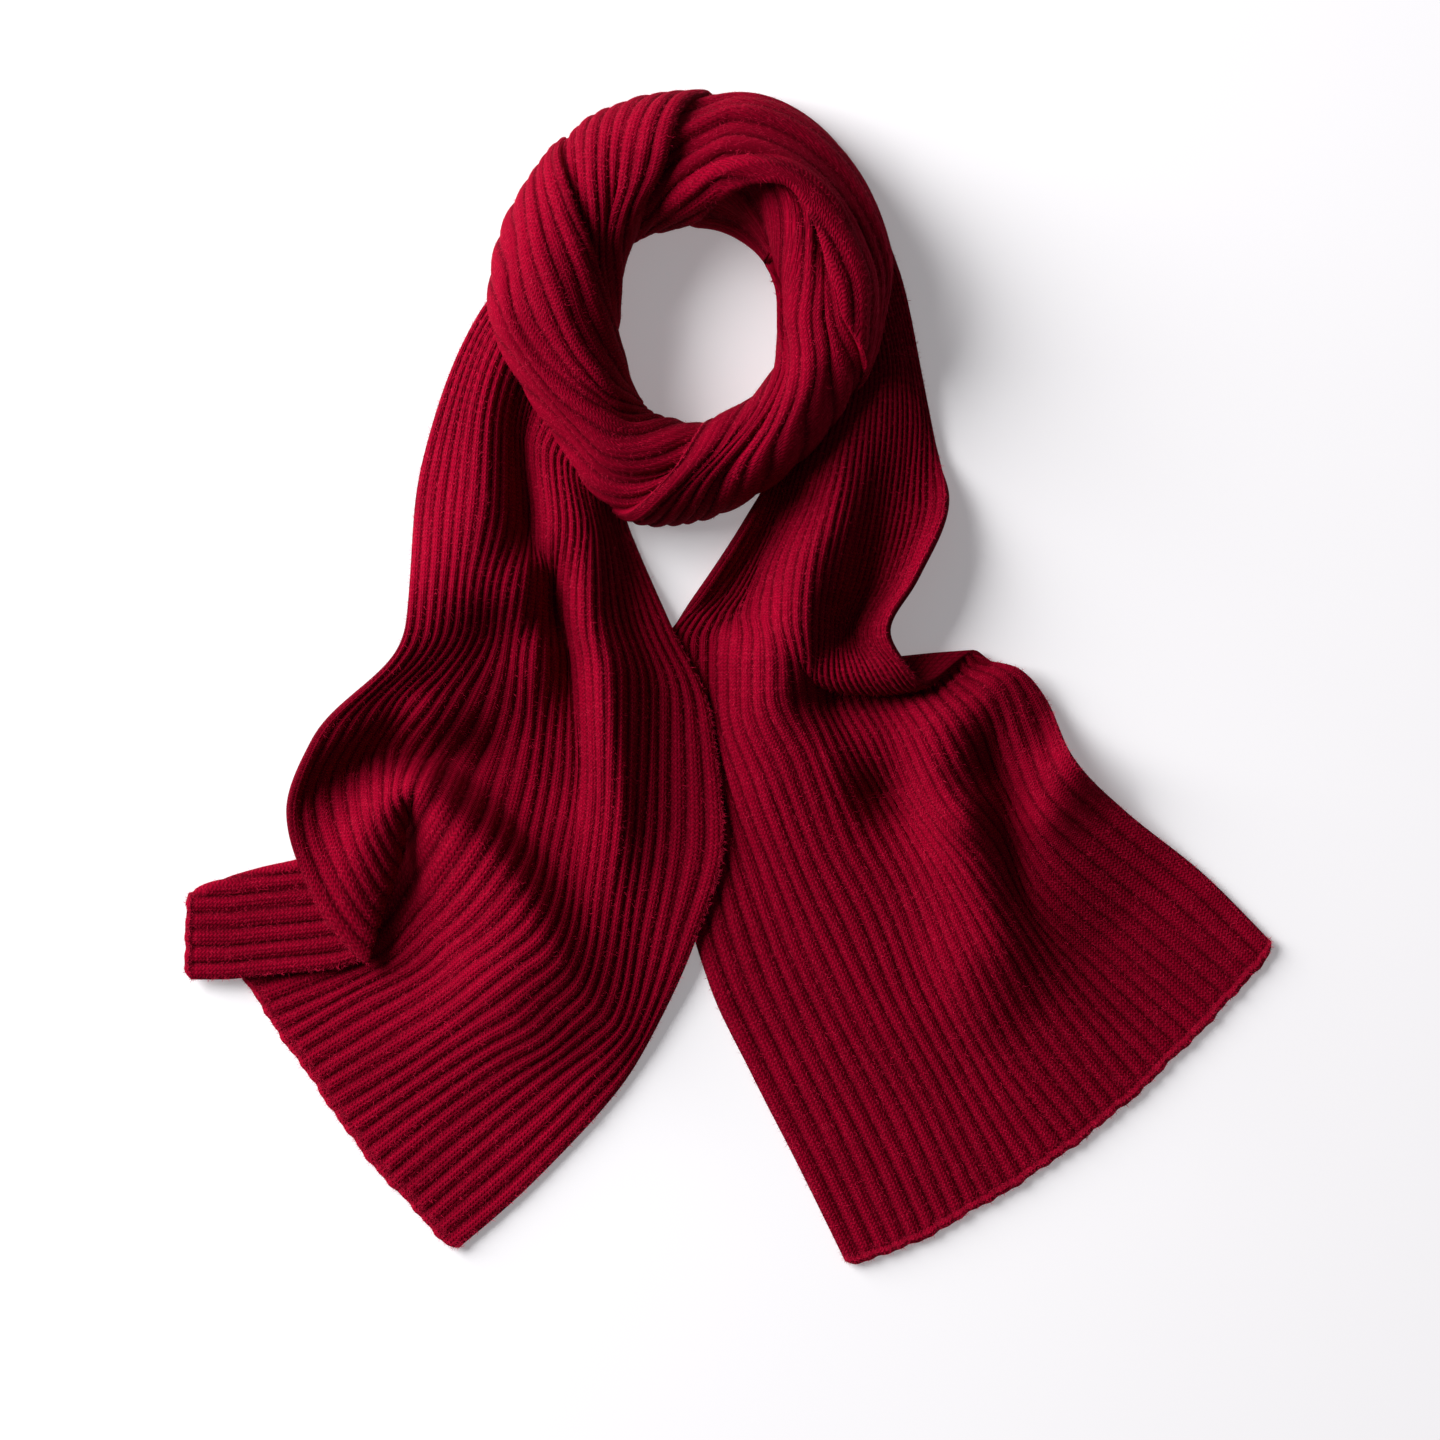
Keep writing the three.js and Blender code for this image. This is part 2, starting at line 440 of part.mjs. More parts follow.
function coreSection(degrees) {
  const inner = rimValue('inner', degrees);
  const edge = rimValue('edge', degrees);
  const outer = rimValue('outer', degrees);
  const limit = outer - rimValue('room', degrees);
  const layer = (RIM_HEIGHT - SEAT_GAP) / CORE_LAYERS;
  const section = [];
  for (let k = 0; k < CORE_LAYERS; k += 1) {
    [[1.5, 0], [0, 0.3], [0, 0.7], [1.5, 1]].slice(k ? 1 : 0).forEach(([inset, share]) => (
      section.push([inner + inset, layer * (k + share)])));
  }
  const middle = (inner + outer) / 2;
  const half = (outer - inner) / 2 - CORE_DEPTH;
  for (let k = 0; k <= CORE_TURNS; k += 1) {
    const turn = (Math.PI * k) / CORE_TURNS;
    const base = k < CORE_TURNS / 2 ? RIM_HEIGHT : edge;
    const low = Math.max(layer * CORE_LAYERS, base - CORE_DEPTH);
    const height = low + (rimValue('top', degrees) - CORE_DEPTH - low) * Math.sin(turn);
    section.push([Math.min(middle - half * Math.cos(turn), limit - 2), height]);
  }
  for (let k = CORE_LAYERS - 1; k >= 0; k -= 1) {
    [[1.5, 1], [0, 0.7], [0, 0.3], [1.5, 0]].slice(0, k ? 3 : 4).forEach(([inset, share]) => (
      section.push([limit - inset, layer * (k + share)])));
  }
  return section;
}

function ringCore() {
  const stations = RIM.inner.length;
  const place = [];
  const index = [];
  let size = 0;
  for (let i = 0; i < stations; i += 1) {
    const degrees = i * RIM_STEP;
    const angle = THREE.MathUtils.degToRad(degrees);
    const section = coreSection(degrees);
    size = section.length;
    section.forEach(([radius, height]) => place.push(
      RING_CENTRE.x + radius * Math.cos(angle), RING_CENTRE.y + radius * Math.sin(angle), height));
  }
  for (let i = 0; i < stations; i += 1) {
    const next = (i + 1) % stations;
    for (let k = 0; k < size; k += 1) {
      const up = (k + 1) % size;
      const [a, b, c, d] = [i * size + k, i * size + up, next * size + up, next * size + k];
      index.push(a, b, c, a, c, d);
    }
  }
  const geometry = new THREE.BufferGeometry();
  geometry.setAttribute('position', new THREE.Float32BufferAttribute(place, 3));
  geometry.setIndex(index);
  geometry.computeVertexNormals();
  return geometry;
}

const clothMaterial = () => new THREE.MeshStandardMaterial({
  color: KNIT_COLOUR, roughness: 0.95, metalness: 0, side: THREE.FrontSide });

function piece(name, geometry) {
  const mesh = new THREE.Mesh(geometry, clothMaterial());
  mesh.name = name;
  return mesh;
}

const COLUMNS = 2 * RIBS;
const COARSE = 4;
const ridge = (column) => (column % 2 ? RIB_RELIEF : 0);

function leftTail() {
  const grid = tailGrid(LEFT_TAIL, COLUMNS);
  const before = LEFT_TAIL.findIndex((section) => section.at === 'foot');
  const slitRow = LEFT_TAIL.slice(0, before).reduce((sum, section) => sum + section.steps, 0);
  const slitEnd = (LEFT_APEX_RIB / RIBS) * COLUMNS;
  return piece('left_tail', clothWall(grid, {
    coarse: COARSE, relief: (i, j) => ridge(j), open: (i, j) => i === slitRow && j < slitEnd }));
}

function rightTail() {
  return piece('right_tail', clothWall(tailGrid(RIGHT_TAIL, COLUMNS), {
    coarse: COARSE, relief: (i, j) => ridge(j) }));
}

function leftCorner() {
  const columns = 32;
  const stations = 10;
  const reach = CORNER.map((station) => CORNER[0].x - station.x);
  const edgeAt = (name) => curveThrough(reach, CORNER.map((station) => station[name]));
  const [lowAt, highAt] = [edgeAt('low'), edgeAt('high')];
  const span = reach[reach.length - 1];
  const grid = Array.from({ length: stations + 1 }, (_, i) => {
    const at = (span * i) / stations;
    const x = CORNER[0].x - at;
    const low = lowAt(at);
    const high = highAt(at);
    const radius = (CORNER_HIGH - CORNER_LOW) / 2;
    const flat = high - radius - low;
    const total = flat + CORNER_RETURN;
    return Array.from({ length: columns + 1 }, (_, j) => {
      const along = (j / columns) * total;
      const bend = Math.min(Math.max(0, along - flat), Math.PI * radius);
      const back = Math.max(0, along - flat - Math.PI * radius);
      const turn = bend / radius;
      return new THREE.Vector3(
        x, low + Math.min(along, flat) + radius * Math.sin(turn) - back,
        CORNER_HIGH - radius * (1 - Math.cos(turn)));
    });
  });
  const relief = (i, j, point) => {
    const fromSelvedge = point.y - lowAt((span * i) / stations);
    return RIB_RELIEF * Math.abs(Math.sin((Math.PI * fromSelvedge) / RIB_PITCH));
  };
  return piece('left_corner', clothWall(grid, { coarse: COARSE, relief }));
}

function ringBand(band) {
  const columns = 2 * band.ribs;
  return piece(band.name, clothWall(bandGrid(band, columns), {
    coarse: 2, relief: (i, j) => ridge(j), levelEnds: true }));
}

const object = new THREE.Group();
object.add(leftTail(), rightTail(), leftCorner(), ...BANDS.map(ringBand), piece('ring_core', ringCore()));

export default object;
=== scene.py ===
"""Ribbed knit scarf laid flat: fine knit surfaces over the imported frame.

The scarf is one long strip of rib knit. It lies with one end lower left, its corner folded back, is
wound once round the neck hole, and ends lower right under a flat pleat. Shapes are worked out in
millimetres, +Z up, and are written to the meshes in metres.
"""

import json
import logging
import math
from dataclasses import dataclass, field
from enum import Enum
from functools import partial
from typing import Any, ClassVar, Optional

import bpy
import numpy as np
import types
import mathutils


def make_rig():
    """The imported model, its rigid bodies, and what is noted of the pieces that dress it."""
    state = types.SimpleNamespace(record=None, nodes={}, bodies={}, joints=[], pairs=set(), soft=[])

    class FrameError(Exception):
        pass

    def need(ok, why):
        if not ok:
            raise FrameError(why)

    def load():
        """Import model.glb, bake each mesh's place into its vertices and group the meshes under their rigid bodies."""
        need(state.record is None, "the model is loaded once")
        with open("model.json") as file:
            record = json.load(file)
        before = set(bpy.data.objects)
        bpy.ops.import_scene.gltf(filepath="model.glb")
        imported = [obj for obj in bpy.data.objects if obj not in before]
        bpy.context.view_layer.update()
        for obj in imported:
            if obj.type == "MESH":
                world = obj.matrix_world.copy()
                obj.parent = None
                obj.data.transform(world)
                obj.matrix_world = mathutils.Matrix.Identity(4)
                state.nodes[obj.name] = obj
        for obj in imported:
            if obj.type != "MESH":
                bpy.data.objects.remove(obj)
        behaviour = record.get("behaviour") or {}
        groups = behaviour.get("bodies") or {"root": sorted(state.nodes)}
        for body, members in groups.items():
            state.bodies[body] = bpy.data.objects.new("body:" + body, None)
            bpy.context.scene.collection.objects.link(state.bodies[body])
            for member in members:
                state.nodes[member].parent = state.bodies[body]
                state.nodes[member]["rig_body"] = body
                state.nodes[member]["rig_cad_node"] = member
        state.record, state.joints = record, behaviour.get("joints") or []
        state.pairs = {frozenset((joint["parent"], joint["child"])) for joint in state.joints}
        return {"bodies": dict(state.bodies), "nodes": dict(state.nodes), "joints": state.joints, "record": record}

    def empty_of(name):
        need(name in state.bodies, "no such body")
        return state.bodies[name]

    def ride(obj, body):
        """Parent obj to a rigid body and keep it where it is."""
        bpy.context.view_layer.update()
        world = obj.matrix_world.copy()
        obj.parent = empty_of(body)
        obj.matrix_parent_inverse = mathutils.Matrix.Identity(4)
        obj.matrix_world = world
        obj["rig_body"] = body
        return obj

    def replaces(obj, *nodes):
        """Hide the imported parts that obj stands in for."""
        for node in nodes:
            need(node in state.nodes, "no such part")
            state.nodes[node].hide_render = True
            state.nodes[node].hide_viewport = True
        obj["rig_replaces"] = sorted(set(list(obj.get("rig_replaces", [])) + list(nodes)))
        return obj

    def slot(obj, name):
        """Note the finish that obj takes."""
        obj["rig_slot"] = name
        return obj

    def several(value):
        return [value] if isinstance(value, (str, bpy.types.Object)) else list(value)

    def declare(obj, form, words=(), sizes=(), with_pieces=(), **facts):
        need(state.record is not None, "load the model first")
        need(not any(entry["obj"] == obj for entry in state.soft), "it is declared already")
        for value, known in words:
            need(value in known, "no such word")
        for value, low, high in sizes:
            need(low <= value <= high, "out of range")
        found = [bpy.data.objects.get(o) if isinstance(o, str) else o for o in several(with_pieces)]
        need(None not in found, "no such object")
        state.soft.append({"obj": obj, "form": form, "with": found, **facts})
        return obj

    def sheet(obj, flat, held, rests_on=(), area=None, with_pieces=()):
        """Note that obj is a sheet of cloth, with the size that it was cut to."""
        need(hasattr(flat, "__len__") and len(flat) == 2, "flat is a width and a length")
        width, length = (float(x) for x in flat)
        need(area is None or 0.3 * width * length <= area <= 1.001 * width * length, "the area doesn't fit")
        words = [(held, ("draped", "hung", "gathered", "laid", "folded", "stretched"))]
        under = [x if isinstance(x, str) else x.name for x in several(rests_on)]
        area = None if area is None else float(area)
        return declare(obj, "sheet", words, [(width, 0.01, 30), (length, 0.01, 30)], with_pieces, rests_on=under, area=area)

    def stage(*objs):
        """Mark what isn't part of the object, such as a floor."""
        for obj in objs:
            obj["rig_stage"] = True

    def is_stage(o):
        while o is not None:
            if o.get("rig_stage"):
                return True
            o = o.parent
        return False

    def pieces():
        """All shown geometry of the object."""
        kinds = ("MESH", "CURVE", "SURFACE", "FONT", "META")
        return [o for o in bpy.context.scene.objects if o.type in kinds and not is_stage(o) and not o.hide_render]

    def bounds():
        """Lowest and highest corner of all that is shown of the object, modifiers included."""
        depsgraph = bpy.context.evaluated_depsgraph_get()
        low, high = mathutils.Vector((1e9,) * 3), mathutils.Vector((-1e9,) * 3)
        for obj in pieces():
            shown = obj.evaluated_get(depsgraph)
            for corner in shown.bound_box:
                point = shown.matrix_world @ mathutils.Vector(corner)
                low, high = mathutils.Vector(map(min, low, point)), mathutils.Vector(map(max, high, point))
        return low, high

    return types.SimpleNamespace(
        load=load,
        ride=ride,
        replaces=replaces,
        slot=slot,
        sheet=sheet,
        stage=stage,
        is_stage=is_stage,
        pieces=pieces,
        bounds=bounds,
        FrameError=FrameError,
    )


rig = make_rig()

log = logging.getLogger("scarf")
Array = np.ndarray

# The cloth, in mm. Real stitch rows and wales are about 1.5 mm; finer ones than these don't show.
MM = 0.001
RIBS = 32
RIB_PITCH = 9.3
WALL = 3.0
HALF_WALL = WALL / 2
RIB_RELIEF = 1.6
WALES_PER_RIB = 4
STITCH_ROW = 2.1

# Unevenness of the ribs. Furrows wander by (share of a rib, mm a radian, radians a rib); ribs swell by
# RIB_SWELL times the product of two sines, (mm a radian, radians a rib).
FURROW_WAVES = ((0.05, 17, 1.9), (0.04, 41, 0.7))
RIB_SWELL = 0.09
SWELL_WAVES = ((23, 2.3), (57, -1))

# The bound-off or cast-on edge: its rolled lip and the rounding of its last mm, (height, width), the place of
# the lip's top, and where the ribs grow, over how many mm and from which share of their height.
LIP = (1.1, 1.7)
LIP_PLACE = 2.6
LIP_ROUNDING = (1.2, 1.6)
RIBS_FROM, RIBS_OVER, RIBS_LEAST = 3.5, 4, 0.35

# The hem's line: scallops at the ribs, wander and its waves (radians a rib), corners, and how deep all reach.
HEM_SCALLOP = 0.3
HEM_WANDER = 0.8
HEM_WAVES = (2.1, 0.83)
CORNER_ROUNDING = 3.5
HEM_DEPTH = 10

# A selvedge: fully firm to FIRM_TO and less so over FIRM_OVER, at a share of the ribs' height, then the
# rounding of its last mm, (height, width). An edge that isn't soft counts as far away.
FIRM_TO, FIRM_OVER, FIRM_SHARE = 2, 3, 0.8
EDGE_ROUNDING = (1.0, 2.8)
FAR_FROM_EDGE = 99.0

# Grids: columns a rib, columns of the outer face to one of the inner, mm between rows, the hem's rows and how
# many times finer they are. Between a tail's sections: least gap, the quantile of the ribs' gaps that sets
# the number of rows, and the least number.
COLUMNS_PER_RIB = 8
COARSE = 8
ROW_STEP = 3.0
HEM_ROWS = 4
HEM_FINER = 4
LEAST_GAP, GAP_QUANTILE, LEAST_ROWS = 0.5, 0.7, 2
TINY = 1e-9
NO_TRIANGLES = np.zeros((0, 3), int)
SEED = 11


class Held(Enum):
    FOLDED = "folded"
    GATHERED = "gathered"


# Shape tables: the same numbers as the part's source.
@dataclass(frozen=True)
class Section:
    """One section across a tail: rows of (rib number, x, y, z of the wall's middle); flat has no z."""

    at: str
    knots: tuple[tuple[float, ...], ...]


# From the hem to "foot" the first knot is the hidden edge under the folded corner; from "flap edge" on it
# is the left selvedge. Between the two the cloth is slit up to the pleat's apex.
LEFT_SLIT_AFTER = "foot"
LEFT_APEX_RIB = 10
LEFT_TAIL = (
    Section("hem", ((0, -299, -127), (10, -279, -155), (13, -263, -182), (16, -248, -204), (20, -227, -234),
        (24, -206, -264), (28, -180, -293), (32, -155, -320))),
    Section("panel", ((0, -252, -115), (10, -238, -136), (13, -219, -164), (16, -208, -180, 2.5),
        (20, -186, -209, 4), (24, -168, -235, 3), (28, -144, -262), (32, -120, -290))),
    Section("upper panel", ((0, -222, -102), (10, -205, -118), (13, -195, -152), (16, -172, -161, 5),
        (20, -150, -184, 13), (24, -130, -209, 9), (28, -109, -232, 4), (32, -92, -262))),
    Section("foot", ((0, -198, -90), (10, -184, -86, 2.5), (13, -174, -130, 4), (16, -158, -148, 12),
        (20, -134, -171, 22), (24, -108, -197, 15), (28, -88, -214, 7), (32, -72, -240))),
    Section("flap edge", ((0, -203, -159, 11), (3, -196, -130, 13), (6, -187, -103, 17), (10, -178, -73, 22),
        (13, -163, -117, 17), (16, -143, -136, 24), (20, -120, -160, 28), (24, -96, -185, 18),
        (28, -74, -203, 9), (32, -58, -222))),
    Section("hump crest", ((0, -228, -131, 14), (3, -212, -101, 24), (6, -197, -78, 31), (10, -176, -62, 34),
        (13, -145, -90, 35), (16, -124, -113, 35), (20, -103, -146, 31), (24, -83, -172, 20),
        (28, -62, -190, 10), (32, -45, -200, 3))),
    Section("north foot", ((0, -247, -74, 24), (2, -233, -64, 17), (4, -215, -52, 10), (7, -193, -41, 6),
        (10, -168, -42, 5), (13, -134, -62, 4), (16, -113, -85, 4), (20, -90, -105, 6), (24, -71, -125, 12),
        (28, -50, -140, 8), (32, -20, -147, 6.3))),
    Section("dark slope", ((0, -233, -33, 30), (3, -203, -18, 27), (6, -181, -12, 22), (10, -148, -10, 17),
        (12, -128, -14, 14), (14, -115, -20, 11), (17, -98, -34, 6), (19.5, -84, -46, 5),
        (21.5, -75.5, -54, 18), (24, -64, -62, 23), (27, -48, -73, 12), (29.5, -29, -80, 7),
        (32, -3, -88, 6.3))),
    Section("waist", ((0, -182, 25, 36), (3, -166, 27, 34), (6, -151, 28, 31), (9, -137, 26, 27),
        (12, -122, 20, 24), (14.5, -109.5, 16.5, 22), (16.5, -99, 14.5, 12), (18.5, -90, 12, 4),
        (20.5, -82, 9, 15), (23, -70, 5, 30), (25.5, -55, 0, 20), (28, -40, -6, 10), (32, -12, -14, 6.3))),
    Section("shoulder", ((0, -178, 52, 30), (3, -162, 53, 37), (6, -147, 53, 38), (9, -133, 52, 36),
        (12, -118.5, 49.5, 34), (14, -110, 47, 23), (17.5, -98, 44, 4), (19.5, -90, 42, 16),
        (22, -80, 40, 31), (25, -67, 36, 22), (28, -53, 32, 11), (32, -31, 26, 6.3))),
    Section("neck", ((0, -175, 100, 11), (3, -158, 100, 22), (6, -140, 98, 30), (8, -130, 96, 25),
        (10, -121, 94, 13), (12.5, -112, 91, 4), (15, -104, 89, 15), (17, -97, 87, 26), (20, -86, 83, 29),
        (23, -77, 79, 26), (26, -69, 75, 16), (29, -61, 73, 6), (32, -53, 75))),
    Section("upper neck", ((0, -163, 152, 7), (3, -150, 150, 15), (6, -137, 146, 21), (8, -129, 142, 17),
        (10, -122, 138, 9), (12.5, -115, 134, 4.5), (15, -108, 130, 12), (17, -101, 126, 17),
        (20, -91, 118, 18), (23, -82, 108, 17), (26, -74, 100, 13), (29, -66, 93, 6), (32, -58, 87))),
    Section("ring edge", ((0, -137, 210, 4), (3, -131, 201, 10), (6, -124, 189, 16), (8, -119, 178, 13),
        (10, -114, 169, 8), (12.5, -109, 160, 5), (15, -102, 149, 10), (17, -96, 139, 14.5),
        (20, -86, 128, 15.5), (23, -78, 115, 15), (26, -71, 105, 11), (29, -65, 98, 6), (32, -60, 93))),
    Section("end", ((0, -124, 225, 4), (3, -118, 214, 9), (6, -112, 202, 15.5), (8, -107, 191, 12),
        (10, -102, 182, 8), (12.5, -97, 173, 5), (15, -90, 162, 10), (17, -84, 152, 14), (20, -74, 141, 15),
        (23, -66, 128, 14.5), (26, -59, 118, 11), (29, -53, 111, 6), (32, -48, 106))),
)

# The pleat is a full Z: "fold out" turns the cloth over the lower layer, "fold back" is the lip above it.
RIGHT_TAIL = (
    Section("hem", ((0, 66, -328), (4, 101, -316), (8, 134, -298), (12, 166, -279), (16, 197, -257),
        (20, 225, -234), (24, 253, -207), (28, 280, -179), (32, 306, -149))),
    Section("lower panel", ((0, 38, -271), (4, 74, -257), (8, 107, -240, 2), (12, 133, -222, 2.5),
        (16, 157, -204, 6), (20, 184, -182, 7), (24, 203, -159, 3), (28, 230, -136, 2), (32, 264, -107))),
    Section("panel", ((0, 12, -220), (4, 47, -203, 2), (8, 79, -188, 3), (12, 106, -170, 5),
        (16, 132, -152, 19), (19, 149, -140, 24), (21, 158, -132, 18), (24, 167, -122, 9), (28, 185, -98, 12),
        (32, 219, -71, 9))),
    Section("folds", ((0, -12, -169), (4, 26, -157, 2), (8, 57, -142, 5), (12, 88, -124, 8),
        (16, 112, -108, 15), (20, 133, -103, 29), (22, 142, -96, 24), (24.5, 153, -86, 7), (27, 163, -79, 12),
        (29.5, 175, -67, 21), (32, 192, -44, 17))),
    Section("upper folds", ((0, -25, -118), (4, 8, -105), (8, 38, -100, 8), (12, 68, -86, 12),
        (16, 92, -74, 6), (20, 108, -68, 20), (22.5, 121, -63, 28), (25, 136, -58, 16), (27, 149, -52, 5),
        (29.5, 163, -38, 14), (32, 178, -13, 6))),
    Section("below the nose", ((0, -27, -62), (4, -6, -60), (8, 20, -52, 15), (12, 48, -36, 21),
        (16, 70, -36, 14), (19, 87, -34, 13), (22, 103, -32, 19), (25, 122, -26, 25), (28, 141, -14, 17),
        (30, 151, 0, 12), (32, 162, 6, 8))),
    Section("under the nose", ((0, -34, -22), (5, -11, -18), (8, 7, -14, 16), (11, 28, -12, 27),
        (13, 42, -10, 18), (16, 57, -6, 4), (20, 77, -2, 2), (24, 98, 1, 2), (28, 122, 4, 4),
        (32, 146, 11, 3))),
    Section("fold out", ((0, -38, -6), (5, -12, -6), (8, 7, -4, 17), (11, 27, -4, 29), (13, 41, 0, 22),
        (16, 58, 9, 6), (20, 78, 12, 5.2), (24, 98, 14, 5.2), (28, 118, 16, 5.5), (32, 137, 17, 5.5))),
    Section("middle layer", ((0, -38, 4), (5, -12, 4), (8, 7, 4, 18), (11, 27, 4, 30), (13, 40, 5, 25),
        (16, 55, 4, 12), (20, 73, 4, 9.5), (24, 91, 5, 9.5), (28, 108, 6, 9.5), (32, 124, 8, 9.5))),
    Section("fold back", ((0, -38, 14), (5, -12, 14, 1.8), (8, 7, 13, 20), (11, 27, 12, 31), (13, 39, 9, 27),
        (16, 52, -2, 18), (20, 69, -6, 17), (24, 85, -6.5, 17), (28, 98, -5, 17), (32, 110, -2, 17))),
    Section("nose", ((0, -36, 23), (5, -12, 23, 2), (8, 8, 23, 20), (11, 26, 21, 31), (13, 38, 17, 31),
        (16, 48, 7, 25), (20, 62, 3, 24), (24, 76, 3, 24), (28, 89, 5, 25), (32, 100, 7, 25))),
    Section("gutter", ((0, -29, 34, 1.8), (3, -17, 34, 2.2), (6, -3, 36, 3.5), (9, 12, 36, 19),
        (12, 30, 35, 31), (14, 40, 34, 33), (17, 51, 31, 20), (20, 59, 29, 10), (24, 68, 27, 7),
        (28, 78, 26, 14), (32, 88, 28, 26))),
    Section("lip", ((0, -16, 52, 10), (2, -9, 50, 5), (5, 3, 50, 3), (8, 13, 53, 13), (11, 26, 57, 26),
        (14, 43, 62, 35), (17, 55, 60, 27), (20, 66, 58, 14), (24, 80, 56, 5), (28, 92, 54, 9),
        (32, 104, 57, 22))),
    Section("neck", ((0, 10, 92, 12), (3, 19, 91, 7), (6, 26, 92, 6), (9, 35, 95, 15), (12, 46, 99, 24),
        (15, 58, 103, 26), (18, 69, 103, 21), (21, 79, 102, 13), (24, 89, 101, 8), (27, 99, 100, 6),
        (29.5, 109, 100, 6), (32, 122, 102, 13))),
    Section("ring edge", ((0, 20, 110, 7), (4, 32, 118, 6), (8, 44, 130, 11), (12, 57, 141, 17),
        (16, 70, 150, 18.5), (20, 82, 153, 17.5), (24, 93, 150, 14), (28, 104, 142, 9), (30, 109, 137, 6),
        (32, 114, 133, 3))),
    Section("ring side", ((0, 27, 118, 7), (8, 50, 138, 11), (12, 60, 150, 16), (16, 72, 162, 18),
        (20, 83, 170, 17.5), (24, 92, 173, 15), (28, 100, 172, 10), (32, 107, 167, 2.5))),
    Section("upper ring side", ((0, 38, 133, 7), (8, 54, 158, 11), (12, 62, 176, 16), (16, 69, 193, 17.5),
        (20, 76, 207, 17), (24, 83, 216, 14), (28, 89, 221, 9), (32, 96, 222, 2.5))),
    Section("end", ((0, 42, 141, 7), (8, 55, 171, 11), (12, 61, 191, 15), (16, 66, 210, 16.5),
        (20, 70, 227, 16), (24, 75, 240, 13), (28, 80, 249, 8), (32, 85, 253, 2.5))),
)

# Folded corner: stations along its ribs, from the end under the flap to the hem, (x, selvedge y, fold y),
# heights of its lower and upper layer, and how far the lower one runs back.
CORNER = ((-208, -157, -88), (-222, -161, -94), (-240, -163, -102), (-262, -165, -107),
          (-285, -167, -113), (-305, -167, -122))
CORNER_LOW, CORNER_HIGH, CORNER_RETURN = 1.5, 6.2, 9.0

# Ring: its centre, the inner rim's height, and every RIM_STEP degrees anticlockwise from +X the rims'
# distances from the centre, the height between them, the outer rim's height and the room inside that rim for
# the tails' ends.
RING_CENTRE = (-20.0, 201.0)
RIM_STEP = 15.0
RIM_HEIGHT = 7.0
RIM = {
    "inner": (49, 51, 53, 54.5, 55, 55.5, 55.5, 56.5, 57.5, 56, 50.5, 46.5,
              45, 46.5, 48.5, 53, 58, 58.5, 58, 57.5, 57, 55.5, 54.5, 51.5),
    "outer": (103, 112, 117, 123, 128, 130, 125.5, 126, 125.5, 120.5, 118, 115,
              111.5, 103, 98.5, 100.5, 111, 114, 109.5, 103, 97.5, 95, 95.5, 99),
    "top": (44, 46, 48, 50, 51, 52, 52, 52, 51, 50, 50, 49,
            48, 47, 46, 44, 43, 42, 41, 41, 42, 43, 43, 43),
    "edge": (21.8, 21.8, 19, 8, 7, 7, 7, 7, 7, 7, 8, 12,
             21.5, 21.5, 21.5, 21.5, 19, 9, 7, 9, 19, 21.8, 21.8, 21.8),
    "room": (20, 20, 20, 8, 0, 0, 0, 0, 0, 0, 6, 20,
             20, 20, 20, 20, 22, 20, 8, 12, 20, 20, 20, 20),
}

# Lines that ribs follow round the ring in plan, (x, y), from the inner rim to the outer one.
LINES = {
    "frontEdge": ((-56, 159), (-65, 186), (-72, 214), (-78, 240), (-87, 269), (-91, 303)),
    "frontInner": ((-48, 149), (-66, 158), (-84, 178), (-98, 205), (-108, 235), (-112, 260), (-110, 281)),
    "frontOuter": ((-24, 144), (-50, 136), (-75, 142), (-97, 160), (-115, 184), (-127, 208), (-132, 228)),
    "leftEdge": ((-62, 244), (-47, 269), (-36, 287), (-27, 315), (-10, 327)),
    "topOuter": ((-48, 254), (-30, 272), (0, 287), (30, 287), (52, 272), (68, 245), (79, 215), (82, 196)),
    "topEdge": ((-27, 257), (1, 274), (19, 278), (37, 273), (48, 254), (55, 232), (61, 205), (73, 161)),
    "rightInner": ((2, 252), (22, 238), (30, 215), (34, 190), (33, 165), (24, 142), (10, 122), (-8, 97)),
    "rightOuter": ((28, 200), (30, 175), (20, 152), (2, 131), (-18, 111), (-38, 90)),
    "rightEdge": ((-7, 142), (-27, 123), (-43, 106), (-66, 95)),
}

# How a band lies. In ribs: tucked under the one before it, lapping the next, and over how many it rises or
# sinks. In mm: its lift halfway and at the rims, its tucked edge's depth, the roll of its own edge as
# (mm, ribs), and the deepest dip. Lift, folds and hollows are full from a share of a half sine over the rows.
TUCK_RIBS = 1.5
LAP_RIBS = 3.0
RAMP_RIBS = 2
BAND_LIFT = 3.7
RIM_LIFT = 0.9
TUCK_SINK = 2.5
EDGE_ROLL = (1.6, 0.8)
DEEPEST_SINK = 8.0
LIFT_FULL, FOLD_FULL, HOLLOW_FULL = 0.55, 0.5, 0.35
FOLD_STEEPNESS = 0.55
LEAST_RIBS_A_MM = 0.06
RING_RELIEF = 1.8
RIBS_ROUND = 10.0

# A spot more than AHEAD degrees past the last is taken a full turn back, one BEHIND before it a turn on.
FULL_TURN = 360
AHEAD, BEHIND = 100, 260


@dataclass(frozen=True)
class Guide:
    """A line of the ring as part of a band.

    place is its rib number in the CAD band. The knit's ribs can run out from under an edge, so the rib
    number at the line is given as (share of the line's length, rib).
    """

    line: str
    place: float
    ribs: tuple[tuple[float, float], ...]

    def rib_at(self, shares: Array) -> Array:
        """Rib number at shares of the line's length."""
        return np.interp(shares, *np.array(self.ribs, float).T)


